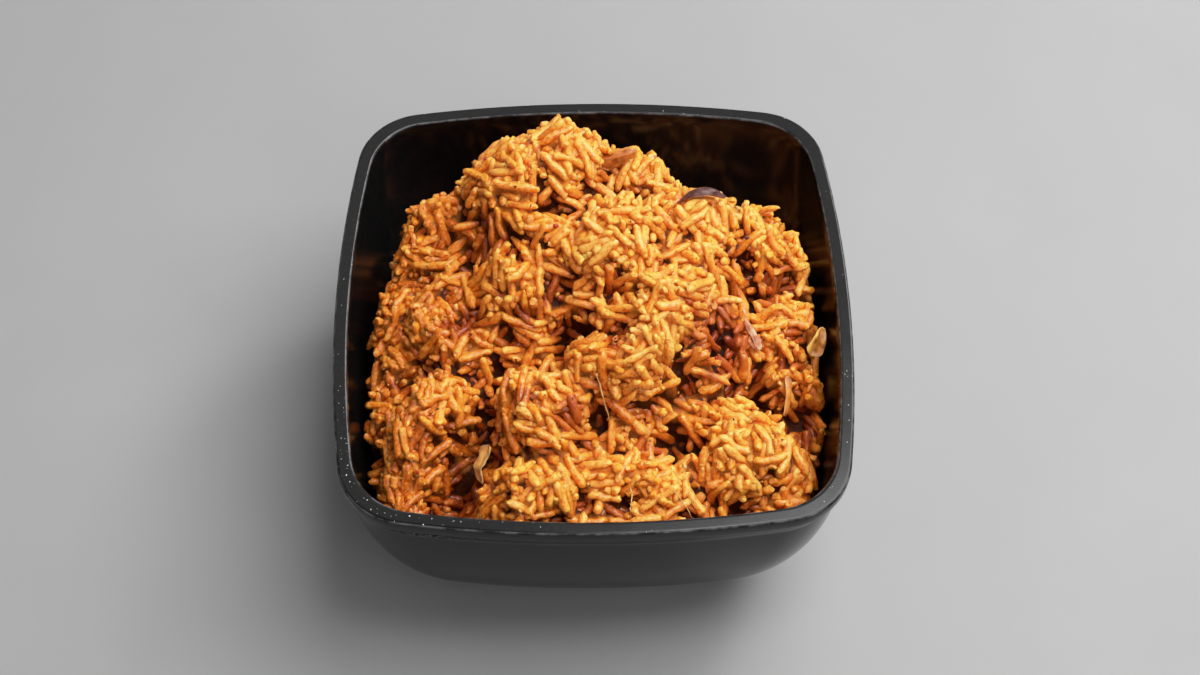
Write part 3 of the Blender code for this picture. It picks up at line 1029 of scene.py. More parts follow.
def grain_paths(rng, chains, radius):
    """Centre lines through the chains, carried on to the blunt ends, and the radii along them."""
    count = len(chains)
    first = 2 * chains[:, 0] - chains[:, 1]
    last = 2 * chains[:, -1] - chains[:, -2]
    line = np.concatenate([first[:, None], chains, last[:, None]], 1)
    steps = np.linalg.norm(chains[:, 1:] - chains[:, :-1], axis=2).sum(1)
    spacing = steps / (CHAIN - 1)
    reach = (steps / 2 + PATH_END * radius) / spacing
    place = (CHAIN + 1) / 2 + PATH[None, :] * reach[:, None]
    place = np.clip(place, -0.6, CHAIN + 1.6)
    base = np.clip(place.astype(int), 0, CHAIN)
    share = (place - base)[..., None]
    rows = np.arange(count)[:, None]
    before = line[rows, np.clip(base - 1, 0, CHAIN + 1)]
    here, after = line[rows, base], line[rows, base + 1]
    beyond = line[rows, np.clip(base + 2, 0, CHAIN + 1)]
    inside = (share >= 0) & (share <= 1)
    curved = 0.5 * (
        2 * here
        + (after - before) * share
        + (2 * before - 5 * here + 4 * after - beyond) * share**2
        + (3 * here - before - 3 * after + beyond) * share**3
    )
    path = np.where(inside, curved, here + (after - here) * share)
    lean = rng.uniform(-LEAN, LEAN, (count, 1)) * PATH[None, :]
    width = radius[:, None] * PATH_WIDTH[None, :] * (1 + lean)
    width *= rng.normal(1, WAIST_SPREAD, width.shape).clip(*WAIST_LIMITS)
    blunt = rng.uniform(*BLUNT_LIMITS, (count, 2))
    for end, share in enumerate(BLUNT_SHARES):
        width[:, end] *= 1 + share * (blunt[:, 0] - 1)
        width[:, -1 - end] *= 1 + share * (blunt[:, 1] - 1)
    slant = rng.normal(0, SLANT, (count, 2, 3)) * radius[:, None, None]
    path[:, 0] += slant[:, 0]
    path[:, -1] += slant[:, 1]
    return path, width


def line_mesh(name, path, width, tone, deep, sauce):
    """One open line for each grain, with its radius, tone, depth for painted shade and sauce as
    attributes.
    """
    count, steps = path.shape[:2]
    mesh = bpy.data.meshes.new(name)
    mesh.vertices.add(count * steps)
    mesh.vertices.foreach_set("co", path.reshape(-1).astype(np.float32))
    start = np.arange(count)[:, None] * steps + np.arange(steps - 1)[None, :]
    edges = np.stack([start, start + 1], -1).reshape(-1, 2)
    mesh.edges.add(len(edges))
    mesh.edges.foreach_set("vertices", edges.reshape(-1).astype(np.int32))
    tips = np.broadcast_to(np.abs(PATH)[None, :], (count, steps))
    tones = np.broadcast_to(tone[:, None], (count, steps))
    store(mesh, {"width": width, "tone": tones, "tip": tips, "deep": deep, "sauce": sauce})
    mesh.update()
    return mesh


def grid_faces(size):
    """The faces of a square grid of points, and its border in order."""
    index = np.arange(size * size).reshape(size, size)
    corners = (index[:-1, :-1], index[1:, :-1], index[1:, 1:], index[:-1, 1:])
    border = np.concatenate([index[:-1, 0], index[-1, :-1], index[:0:-1, -1], index[0, :0:-1]])
    return np.stack(corners, -1).reshape(-1, 4), border


def shell_mesh(name, upper, lower):
    """A closed thin body between two grids of points."""
    quads, border = grid_faces(len(upper))
    after = np.roll(border, -1)
    under = len(upper) ** 2
    rim = np.stack([border, after, after + under, border + under], -1)
    faces = np.concatenate([quads, quads[:, ::-1] + under, rim[:, ::-1]])
    points = np.concatenate([upper.reshape(-1, 3), lower.reshape(-1, 3)])
    return turned_out(mesh_from(name, points, faces.tolist()))


def thin_slice(node, shape):
    """A thin curved slice in the place of its CAD solid, with tapered ends and a ragged edge."""
    joined = merged(node)
    corners = vertex_array(joined)
    tree = tree_of(joined)
    bpy.data.meshes.remove(joined)
    middle = corners.mean(0)
    turn = np.linalg.eigh(np.cov((corners - middle).T))[1]
    turn[:, 0] *= np.sign(turn[2, 0])
    turn[:, 2] *= np.sign(turn[0, 2])
    local = (corners - middle) @ turn
    centre, half = (local.max(0) + local.min(0)) / 2, (local.max(0) - local.min(0)) / 2
    ragged, long = shape.get("ragged", SLICE_RAGGED), shape.get("long", SLICE_LONG)
    places = np.linspace(-1, 1, SLICE_STEPS)
    upper = np.empty((SLICE_STEPS, SLICE_STEPS, 3))
    lower = np.empty_like(upper)
    through = Vector(turn[:, 0])
    for i, s in enumerate(places):
        full = max(1 - abs(s) ** shape["ends"], 0.004) ** 0.5
        full *= (1 + shape["lean"] * s) / (1 + abs(shape["lean"]))
        for j, t in enumerate(places):
            edge = 1 + ragged * noise.noise(Vector((3 * s, math.copysign(2, t), 5.5)))
            across = centre[1] + SLICE_WIDE * t * full * min(edge, 1.0) * half[1]
            along = centre[2] + long * s * half[2]
            place = Vector(middle + turn @ np.array([0, across, along]))
            first = tree.ray_cast(place + through * PROBE, -through)[0]
            second = tree.ray_cast(place - through * PROBE, through)[0]
            if first is None or second is None:
                first = second = tree.find_nearest(place)[0]
            level = (first + second) / 2
            lift = shape["fold"] * (0.5 - abs(t)) * full
            lift += shape["wave"] * noise.noise(level / SLICE_WAVE)
            level = level + through * lift
            thick = (first - second).length / 2 * shape["thick"]
            thick *= max((1 - abs(t) ** 3) * min(full * 1.5, 1), 0.12)
            upper[i, j] = level + through * max(thick, THINNEST_SLICE)
            lower[i, j] = level - through * max(thick, THINNEST_SLICE)
    mesh = shell_mesh(node + "_body", upper, lower)
    s, t = np.meshgrid(places, places, indexing="ij")
    store(mesh, {"along": np.tile(s.ravel(), 2), "across": np.tile(t.ravel(), 2)})
    return mesh


def new_tree(name, inputs):
    """An empty node tree with named inputs."""
    tree = bpy.data.node_groups.new(name, "GeometryNodeTree")
    tree.interface.new_socket("Geometry", in_out="INPUT", socket_type="NodeSocketGeometry")
    for key, kind, value in inputs:
        made = tree.interface.new_socket(key, in_out="INPUT", socket_type=kind)
        if value is not None:
            made.default_value = value
    tree.interface.new_socket("Geometry", in_out="OUTPUT", socket_type="NodeSocketGeometry")
    return tree, add_node(tree, "NodeGroupInput").outputs


def dented(tree, geometry, given):
    """Ends a tree: real bodies, pushed in and out by noise, smooth and with their finish."""
    real = from_node(tree, "GeometryNodeRealizeInstances", "Geometry", {"Geometry": geometry})
    place = from_node(tree, "GeometryNodeInputPosition", "Position")
    frequency = maths(tree, "DIVIDE", 1.0, given["Dent Size"])
    inputs = {"Vector": place, "Scale": frequency, "Detail": 2.0}
    dents = from_node(tree, "ShaderNodeTexNoise", "Fac", inputs)
    depth = maths(tree, "MULTIPLY", maths(tree, "SUBTRACT", dents, 0.5), given["Dent Depth"])
    normal = from_node(tree, "GeometryNodeInputNormal", "Normal")
    inputs = {"Geometry": real, "Offset": scaled(tree, normal, depth)}
    result = from_node(tree, "GeometryNodeSetPosition", "Geometry", inputs)
    for kind in ("GeometryNodeSetShadeSmooth", "GeometryNodeRealizeInstances"):
        result = from_node(tree, kind, "Geometry", {"Geometry": result})
    inputs = {"Geometry": result, "Material": given["Material"]}
    result = from_node(tree, "GeometryNodeSetMaterial", "Geometry", inputs)
    add_node(tree, "NodeGroupOutput", {"Geometry": result})
    return tree


def crumb_tree():
    """Geometry nodes that put a small dented body on every point."""
    inputs = (
        ("Subdivisions", "NodeSocketInt", 1),
        ("Shape", "NodeSocketVector", (1.0, 0.75, 0.6)),
        ("Dent Size", "NodeSocketFloat", 0.8 * MM),
        ("Dent Depth", "NodeSocketFloat", 0.6 * MM),
        ("Material", "NodeSocketMaterial", None),
    )
    tree, given = new_tree("crumb_bodies", inputs)
    ball = {"Radius": 1.0, "Subdivisions": given["Subdivisions"]}
    body = from_node(tree, "GeometryNodeMeshIcoSphere", "Mesh", ball)
    named = "GeometryNodeInputNamedAttribute"
    size = from_node(tree, named, "Attribute", {"Name": "size"})
    turn = from_node(tree, named, "Attribute", {"Name": "turn"}, data_type="FLOAT_VECTOR")
    inputs = {
        "Points": given["Geometry"],
        "Instance": body,
        "Rotation": from_node(tree, "FunctionNodeEulerToRotation", "Rotation", {"Euler": turn}),
        "Scale": scaled(tree, given["Shape"], size),
    }
    placed = from_node(tree, "GeometryNodeInstanceOnPoints", "Instances", inputs)
    return dented(tree, placed, given)


def point_mesh(name, places, values, turns):
    """Loose points with numbers and turns as attributes."""
    mesh = bpy.data.meshes.new(name)
    mesh.vertices.add(len(places))
    mesh.vertices.foreach_set("co", np.asarray(places, np.float32).ravel())
    store(mesh, values)
    made = mesh.attributes.new("turn", "FLOAT_VECTOR", "POINT")
    made.data.foreach_set("vector", np.asarray(turns, np.float32).ravel())
    mesh.update()
    return mesh


def grain_tree():
    """Geometry nodes that sweep a dented section along every line."""
    inputs = (
        ("Sides", "NodeSocketInt", 7),
        ("Flatness", "NodeSocketFloat", 0.88),
        ("Dent Size", "NodeSocketFloat", 1.5 * MM),
        ("Dent Depth", "NodeSocketFloat", 1.5 * MM),
        ("Material", "NodeSocketMaterial", None),
    )
    tree, given = new_tree("grain_bodies", inputs)
    lines = from_node(tree, "GeometryNodeMeshToCurve", "Curve", {"Mesh": given["Geometry"]})
    ring = {"Resolution": given["Sides"], "Radius": 1.0}
    ring = from_node(tree, "GeometryNodeCurvePrimitiveCircle", "Curve", ring)
    flat = {"X": 1.0, "Y": given["Flatness"], "Z": 1.0}
    flat = from_node(tree, "ShaderNodeCombineXYZ", "Vector", flat)
    named = {"Name": "width"}
    inputs = {
        "Curve": lines,
        "Profile Curve": from_node(
            tree, "GeometryNodeTransform", "Geometry", {"Geometry": ring, "Scale": flat}
        ),
        "Scale": from_node(tree, "GeometryNodeInputNamedAttribute", "Attribute", named),
        "Fill Caps": True,
    }
    return dented(tree, from_node(tree, "GeometryNodeCurveToMesh", "Mesh", inputs), given)


def grown(name, mesh, tree, values):
    """The plain mesh that a node tree makes of another mesh."""
    holder = link(bpy.data.objects.new(name + "_source", mesh))
    modifier = holder.modifiers.new("Nodes", "NODES")
    modifier.node_group = tree
    for item in tree.interface.items_tree:
        if item.in_out == "INPUT" and item.name in values:
            modifier[item.identifier] = values[item.name]
    bpy.context.view_layer.update()
    graph = bpy.context.evaluated_depsgraph_get()
    result = bpy.data.meshes.new_from_object(holder.evaluated_get(graph))
    result.name = name
    bpy.data.objects.remove(holder)
    bpy.data.meshes.remove(mesh)
    return result


# --- Finishes --------------------------------------------------------------------------------


def shaded(tree, colour, darkest=(0.42, 0.23, 0.13)):
    """Redder where sauce stains the rice, and darker with painted shade where it lies deep between
    the grains and in hollows.
    """
    share = maths(tree, "MULTIPLY", stored(tree, "sauce"), SAUCE_TINT)
    colour = mix(tree, share, colour, SAUCE_COLOUR)
    # Painted shade: the stored depth darkens the colour towards the darkest tone.
    stops = ((0.2, (1.0, 1.0, 1.0)), (0.55, (0.88, 0.76, 0.64)), (0.9, darkest))
    return mix(tree, 1.0, colour, ramp(tree, stored(tree, "deep"), stops), "MULTIPLY")


def rice_material(name, light, deep):
    """Cooked, oily rice: soft translucent colour, cloudy and flecked, with a wet sheen."""
    made, tree, shader = new_material(
        name,
        Roughness=0.42,
        IOR=1.42,
        Specular_IOR_Level=0.32,
        Subsurface_Weight=0.9,
        Subsurface_Radius=(0.6, 0.8, 1.0),
        Subsurface_Scale=3.2 * MM,
        Coat_Weight=0.3,
        Coat_Roughness=0.12,
    )
    blend = maths(tree, "ADD", stored(tree, "tone"), grain_noise(tree, 3.2 * MM, 3.0))
    colour = mix(tree, ranged(tree, blend, 0.45, 1.35), deep, light)
    ends = ranged(tree, stored(tree, "tip"), 0.6, 1.0, 0.0, 0.35)
    colour = mix(tree, ends, colour, tuple(min(c * 1.2, 0.95) for c in light))
    spot = ((0.36, (0.74, 0.50, 0.28)), (0.54, (1.0, 1.0, 1.0)))
    spot = ramp(tree, grain_noise(tree, 0.9 * MM, 2.0), spot)
    colour = mix(tree, 1.0, colour, spot, "MULTIPLY")
    starch = ranged(tree, grain_noise(tree, 1.5 * MM, 3.0), 0.50, 0.64, 0.0, 0.55)
    colour = mix(tree, starch, colour, (0.95, 0.44, 0.10))
    # The base colour carries painted shade from shaded().
    tree.links.new(shaded(tree, colour), shader.inputs["Base Color"])
    bump(tree, shader, grain_noise(tree, 0.8 * MM, 3.0), 0.4 * MM, 0.8)
    return made


def core_material(settings):
    """Rice that sticks together under the grains, in two tones."""
    made, tree, shader = new_material(
        "packed_rice",
        Roughness=0.5,
        IOR=1.42,
        Specular_IOR_Level=0.2,
        Subsurface_Weight=0.85,
        Subsurface_Radius=(0.6, 0.8, 1.0),
        Subsurface_Scale=2.0 * MM,
    )
    stops = ((0.3, tuple(settings.core_dark)), (0.7, tuple(settings.core_light)))
    colour = ramp(tree, grain_noise(tree, 2.5 * MM, 4.0), stops)
    # Painted shade in the deep parts of the core, down to a near black.
    colour = shaded(tree, colour, (0.07, 0.03, 0.014))
    tree.links.new(colour, shader.inputs["Base Color"])
    bump(tree, shader, grain_noise(tree, 1.3 * MM, 4.0), 0.8 * MM)
    return made


def melamine_material(settings):
    """Glossy black melamine with uneven gloss, faint wear and patchily rubbed rim edges."""
    made, tree, shader = new_material("black_melamine_gloss", IOR=1.5, Specular_IOR_Level=0.23)
    gloss = ranged(tree, grain_noise(tree, 22 * MM, 5.0, 0.6), 0.35, 0.75, 0.12, 0.22)
    tree.links.new(gloss, shader.inputs["Roughness"])
    melamine = tuple(settings.melamine)
    stops = ((0.5, melamine), (0.82, tuple(c * 2.2 for c in melamine)))
    wear = ramp(tree, grain_noise(tree, 1.2 * MM, 2.0), stops)
    place = from_node(tree, "ShaderNodeTexCoord", "Object")
    level = from_node(tree, "ShaderNodeSeparateXYZ", "Z", {"Vector": place})
    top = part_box("bowl")[1].z
    near = ranged(tree, level, top - settings.edge_round, top - 0.3 * MM)
    rubbed = ranged(tree, level, top - 0.15 * MM, top - 0.02 * MM, 1.0, 0.0)
    stops = ((0.42, (0.1, 0.1, 0.1)), (0.6, (1.0, 1.0, 1.0)))
    patchy = ramp(tree, grain_noise(tree, 5 * MM, 4.0, 0.7), stops)
    edge = maths(tree, "MULTIPLY", maths(tree, "MULTIPLY", near, rubbed), patchy)
    wear = mix(tree, edge, wear, tuple(settings.rubbed_edge))
    tree.links.new(wear, shader.inputs["Base Color"])
    bump(tree, shader, grain_noise(tree, 30 * MM, 2.0), 0.06 * MM, 0.5)
    return made


def slice_material(name, dark, light, edge, gloss, veins):
    """Wet, half clear vegetable flesh with fine veins along it and a thin edge of another tone."""
    made, tree, shader = new_material(
        name,
        Roughness=gloss,
        IOR=1.4,
        Specular_IOR_Level=0.35,
        Subsurface_Weight=0.85,
        Subsurface_Radius=(0.7, 0.8, 1.0),
        Subsurface_Scale=2.4 * MM,
        Coat_Weight=0.2,
        Coat_Roughness=0.1,
    )
    colour = ramp(tree, grain_noise(tree, 2.2 * MM, 4.0), ((0.35, dark), (0.66, light)))
    across = stored(tree, "across")
    streak = {"X": stored(tree, "along"), "Y": across}
    streak = from_node(tree, "ShaderNodeCombineXYZ", "Vector", streak)
    streak = {0: streak, 1: (1.2, veins, 1.0)}
    streak = from_node(tree, "ShaderNodeVectorMath", "Vector", streak, operation="MULTIPLY")
    lines = grain_noise(tree, 1.0, 3.0, vector=streak)
    faint = 0.55 + 0.4 * dark[0]
    stops = ((0.38, (faint, 0.85 * faint, 0.75 * faint)), (0.55, (1.0, 1.0, 1.0)))
    colour = mix(tree, 1.0, colour, ramp(tree, lines, stops), "MULTIPLY")
    colour = mix(tree, ranged(tree, across, 0.5, 1.0, 0.0, 0.85), colour, edge)
    tree.links.new(colour, shader.inputs["Base Color"])
    bump(tree, shader, lines, 0.25 * MM)
    return made


# --- Settings --------------------------------------------------------------------------------


class BowlSettings(bpy.types.PropertyGroup):
    """Sizes and colours of the bowl."""

    rim_width: FloatProperty(
        name="Rim width", description="Width of the rim's flat top", default=4.2 * MM, unit="LENGTH"
    )
    lip_height: FloatProperty(
        name="Lip height", description="Height of the rim's outer band",
        default=4.2 * MM, unit="LENGTH",
    )
    lip_overhang: FloatProperty(
        name="Lip overhang", description="How far the rim stands out",
        default=1.7 * MM, unit="LENGTH",
    )
    edge_round: FloatProperty(
        name="Edge rounding", description="Radius of the rim's edges",
        default=0.8 * MM, unit="LENGTH",
    )
    outline_steps: IntProperty(
        name="Outline steps", description="Points in an eighth of the outline", default=40
    )
    melamine: FloatVectorProperty(
        name="Melamine", description="Colour of the bowl", subtype="COLOR",
        default=(0.0045, 0.0044, 0.0043), min=0, max=1,
    )
    rubbed_edge: FloatVectorProperty(
        name="Rubbed edge", description="Colour of the rim's worn edges", subtype="COLOR",
        default=(0.085, 0.085, 0.088), min=0, max=1,
    )


class RiceSettings(bpy.types.PropertyGroup):
    """Sizes, numbers and colours of the grains and of the rice under them."""

    grain_count: IntProperty(name="Grains", description="Number of loose grains", default=5200)
    grain_length: FloatProperty(
        name="Grain length", description="Usual length of a grain", default=10.0 * MM, unit="LENGTH"
    )
    length_spread: FloatProperty(
        name="Length spread", description="Spread of the lengths", default=1.7 * MM, unit="LENGTH"
    )
    grain_width: FloatProperty(
        name="Grain width", description="Usual width of a grain", default=2.65 * MM, unit="LENGTH"
    )
    broken_share: FloatProperty(
        name="Broken grains", description="Share of grains that are broken", default=0.10,
        subtype="FACTOR",
    )
    bend: FloatProperty(name="Bend", description="Usual bend of a grain in degrees", default=24.0)
    alignment: FloatProperty(
        name="Alignment", description="How far neighbours lie the same way", default=0.62
    )
    upright: FloatProperty(
        name="Upright", description="How far grains stand off the surface", default=0.22
    )
    stray_height: FloatProperty(
        name="Stray height", description="How far grain ends stand out",
        default=3.2 * MM, unit="LENGTH",
    )
    loose_depth: FloatProperty(
        name="Loose depth", description="Depth of the loose grains", default=9.5 * MM, unit="LENGTH"
    )
    seed: IntProperty(name="Seed", description="Seed of the grains' places", default=5)
    core_cells: IntProperty(name="Core cells", description="Cells across the core", default=270)
    core_detail: FloatProperty(
        name="Core detail", description="Size of the core's relief", default=0.6 * MM, unit="LENGTH"
    )
    core_gap: FloatProperty(
        name="Core gap", description="Gap between the core and the bowl",
        default=1.4 * MM, unit="LENGTH",
    )
    cling_reach: FloatProperty(
        name="Cling reach", description="Gaps up to twice this are filled",
        default=1.6 * MM, unit="LENGTH",
    )
    cling_depth: FloatProperty(
        name="Cling depth", description="How far the filling lies below the grains",
        default=1.5 * MM, unit="LENGTH",
    )
    core_dark: FloatVectorProperty(
        name="Core, dark", description="Dark colour of the packed rice", subtype="COLOR",
        default=(0.70, 0.215, 0.022), min=0, max=1,
    )
    core_light: FloatVectorProperty(
        name="Core, light", description="Light colour of the packed rice", subtype="COLOR",
        default=(0.92, 0.40, 0.065), min=0, max=1,
    )


class BitSettings(bpy.types.PropertyGroup):
    """Numbers and sizes of what is scattered on the rice and the bowl."""

    seed: IntProperty(name="Seed", description="Seed of the bits' places", default=11)
    crumbs: IntProperty(name="Broken bits", description="Number of broken bits", default=300)
    crumb_size: FloatProperty(
        name="Broken bit size", description="Usual radius of a broken bit", default=0.55 * MM,
        unit="LENGTH",
    )
    specks: IntProperty(name="Pepper specks", description="Number of pepper specks", default=520)
    speck_size: FloatProperty(
        name="Speck size", description="Usual width of a pepper speck",
        default=0.5 * MM, unit="LENGTH",
    )
    flecks: IntProperty(name="Chilli flecks", description="Number of chilli flecks", default=26)
    fibre_width: FloatProperty(
        name="Fibre width", description="Width of the fine fibres", default=0.42 * MM, unit="LENGTH"
    )
    dust: IntProperty(name="Dust specks", description="Number of dust specks", default=95)
    dust_size: FloatProperty(
        name="Dust size", description="Usual width of a dust speck",
        default=0.25 * MM, unit="LENGTH",
    )
    splash: IntProperty(name="Splash specks", description="Number of dried specks", default=320)


class StageSettings(bpy.types.PropertyGroup):
    """Tone of the floor and strength of the lights."""

    floor_tone: FloatProperty(
        name="Floor tone", description="Grey of the floor", default=0.25, subtype="FACTOR"
    )
    key_power: FloatProperty(
        name="Key light", description="Power of the light above", default=20.4, unit="POWER"
    )
    side_power: FloatProperty(
        name="Side light", description="Power of the right light, nine times the left one's",
        default=5.0, unit="POWER",
    )
    back_power: FloatProperty(
        name="Back light", description="Power of the large soft light behind",
        default=3.2, unit="POWER",
    )
    fill_power: FloatProperty(
        name="Fill light", description="Power of the light in front", default=5.6, unit="POWER"
    )
    glint_power: FloatProperty(
        name="Glint", description="Power of the small light that glints on moist rice",
        default=1.8, unit="POWER",
    )
    sky: FloatProperty(name="Surroundings", description="Strength of the even light", default=0.06)


# --- Operators -------------------------------------------------------------------------------


class JOLLOF_OT_bowl(bpy.types.Operator):
    """Makes the square bowl with its flat rim and foot."""

    bl_idname = "jollof.bowl"
    bl_label = "Make the bowl"

    def execute(self, context):
        settings = context.scene.jollof_bowl
        half, height = bowl_size()
        angles = outline_angles(settings.outline_steps)
        rings = []
        for width, z in bowl_section(settings, half, height):
            radius = outline_radius(width, float(corner_at(z, height)), angles)
            heights = np.full_like(angles, z)
            rings.append(np.stack([radius * np.cos(angles), radius * np.sin(angles), heights], -1))
        count = len(angles)
        points = np.concatenate(rings)
        after = (np.arange(count) + 1) % count
        faces = []
        for ring in range(len(rings) - 1):
            base = ring * count
            here = np.arange(count) + base
            faces.extend(zip(here, after + base, after + base + count, here + count))
        faces.append(tuple(range(count))[::-1])
        faces.append(tuple(np.arange(count) + (len(rings) - 1) * count))
        mesh = mesh_from("bowl_body", points, faces, melamine_material(settings))
        add_piece("bowl_body", turned_out(mesh), "black_melamine", "bowl")
        return {"FINISHED"}


class JOLLOF_OT_core(bpy.types.Operator):
    """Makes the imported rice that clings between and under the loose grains."""

    bl_idname = "jollof.core"
    bl_label = "Make the core"

    def execute(self, context):
        settings = context.scene.jollof_rice
        gap = settings.core_gap
        wall = Wall(context.scene.jollof_bowl)
        plain = rice_top()
        top, tops = clinging(lowered(plain, settings.loose_depth), settings)
        steps = np.linspace(-1, 1, settings.core_cells + 1)
        u, v = np.meshgrid(steps, steps, indexing="ij")
        share = np.maximum(np.abs(u), np.abs(v)).ravel()
        angle = np.arctan2(v, u).ravel()
        radius = share * (bowl_size()[0] - gap)
        for _ in range(CORE_ROUNDS):
            x, y = radius * np.cos(angle), radius * np.sin(angle)
            z = top.read(x, y)[0]
            room = wall.room(np.stack([x, y, z], -1)) + radius
            radius = 0.5 * radius + 0.5 * share * (room - gap)
        surface = np.stack([x, y, z], -1)
        quads, ring = grid_faces(len(steps))
        faces, rings, count = quads.tolist(), [surface], len(ring)
        edge, after = surface[ring], (np.arange(count) + 1) % count
        for step in CORE_SIDE:
            z = edge[:, 2] + (INNER_FLOOR + gap - edge[:, 2]) * step
            place = np.column_stack([edge[:, :2], z])
            from_middle = np.hypot(place[:, 0], place[:, 1])
            room = wall.room(place) + from_middle - gap
            place[:, :2] *= (room / from_middle)[:, None]
            lower = len(surface) + (len(rings) - 1) * count + np.arange(count)
            faces.extend(np.stack([ring[after], ring, lower, lower[after]], -1).tolist())
            rings.append(place)
            ring = lower
        faces.append(ring[::-1].tolist())
        points = np.concatenate(rings)
        mesh = mesh_from("rice_core", points, faces, core_material(settings))
        # How deep the core lies under the grain tops and in hollows, for painted shade.
        deep = np.maximum(depth_share(tops, points), hollow_share(plain, points))
        store(mesh, {"deep": deep, "sauce": sauce_stain(points)})
        add_piece("rice_core", mesh, "jollof_rice", "rice_heap")
        return {"FINISHED"}


class JOLLOF_OT_grains(bpy.types.Operator):
    """Packs the loose grains over the core and sweeps their bodies."""

    bl_idname = "jollof.grains"
    bl_label = "Pack the grains"

    def execute(self, context):
        settings = context.scene.jollof_rice
        rng = np.random.default_rng(settings.seed)
        wall = Wall(context.scene.jollof_bowl)
        plain = rice_top()
        top = with_relief(plain)
        core = lowered(plain, settings.loose_depth + CORE_ROOM)
        rest, radius = rest_shapes(rng, settings)
        place, outward, direction = seeded_places(rng, top, wall, settings)
        chains = laid_chains(rng, rest, place, direction, outward)
        proud = allowances(rng, settings)
        chains = settle(chains, rest, radius, proud, top, core, wall)
        kept = outside_pits(chains, top, plain)
        chains, radius = chains[kept], radius[kept]
        path, width = grain_paths(rng, chains, radius)
        # How deep each grain lies under the tops and in hollows, for painted shade.
        shade_depths = depth_share(chain_tops(chains, radius, top), path + [0.0, 0.0, DEPTH_LIFT])
        shade_depths = np.maximum(shade_depths, hollow_share(plain, path))
        sauce = sauce_stain(path)
        # Darker grain kinds go where the oil and the painted shade are.
        rank = rng.random(len(chains)) + SHADE_AND_OIL_RANK * shade_and_oil_share(chains[:, CHAIN // 2])
        rank = np.argsort(np.argsort(rank)) / len(chains)
        limits = np.cumsum((0.0, *KIND_SHARES))
        tree = grain_tree()
        for kind, lowest, highest in zip(GRAIN_COLOURS, limits, limits[1:]):
            chosen = (rank >= lowest) & (rank < highest)
            tone = rng.random(chosen.sum())
            finish = rice_material("rice_" + kind, *GRAIN_COLOURS[kind])
            values = (path[chosen], width[chosen], tone, shade_depths[chosen], sauce[chosen])
            name = "grains_" + kind
            mesh = grown(name, line_mesh(kind + "_lines", *values), tree, {"Material": finish})
            add_piece(name, mesh, "jollof_rice", "rice_heap")
        return {"FINISHED"}


class JOLLOF_OT_slices(bpy.types.Operator):
    """Makes the onion, pepper and tomato pieces in the rice."""

    bl_idname = "jollof.slices"
    bl_label = "Make the slices"

    def execute(self, context):
        for node, slot in SLICES.items():
            finish = slice_material(node + "_flesh", *SLICE_FINISHES[node])
            mesh = thin_slice(node, SLICE_SHAPES[node])
            mesh.materials.append(finish)
            add_piece(node + "_body", mesh, slot, node)
        return {"FINISHED"}


def landed(tree, places, outward):
    """Where points dropped onto the rice land, with the way out of it there."""
    found = []
    for place, away in zip(places, outward):
        start = Vector(place + away * DROP)
        hit, normal = tree.ray_cast(start, -Vector(away))[:2]
        if hit:
            found.append((*hit, *normal))
    found = np.array(found)
    return found[:, :3], found[:, 3:]


def dropped(tree, shares):
    """Where points over shares of the heap's width and depth land when dropped straight down."""
    spots = np.array([heap_spot(*share) for share in shares])
    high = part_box("rice_heap")[1].z
    places = np.concatenate([spots, np.full((len(spots), 1), high)], 1)
    return landed(tree, places, np.tile(UP, (len(spots), 1)))[0]


def add_bits(name, slot, places, sizes, finish, rng, shape, dents=(0.8 * MM, 0.6 * MM), detail=1):
    """A piece made of small bodies, one at each place."""
    count = len(places)
    values = {
        "size": sizes,
        "tone": rng.random(count),
        "tip": np.zeros(count),
        "sauce": sauce_stain(places) if slot == "jollof_rice" else np.zeros(count),
        "deep": np.zeros(count),
    }
    turns = rng.uniform(0, 2 * math.pi, (count, 3))
    mesh = point_mesh(name + "_points", places, values, turns)
    inputs = {
        "Subdivisions": detail,
        "Shape": shape,
        "Dent Size": dents[0],
        "Dent Depth": dents[1],
        "Material": finish,
    }
    add_piece(name, grown(name, mesh, crumb_tree(), inputs), slot)


def plain_finish(name, dark, light, roughness, size=1.5 * MM):
    """Small bits: two tones and a slight bump."""
    made, tree, shader = new_material(name, Roughness=roughness, IOR=1.45)
    colour = ramp(tree, grain_noise(tree, size, 3.0), ((0.35, dark), (0.65, light)))
    tree.links.new(colour, shader.inputs["Base Color"])
    bump(tree, shader, grain_noise(tree, 0.5 * MM, 2.0), 0.1 * MM)
    return made


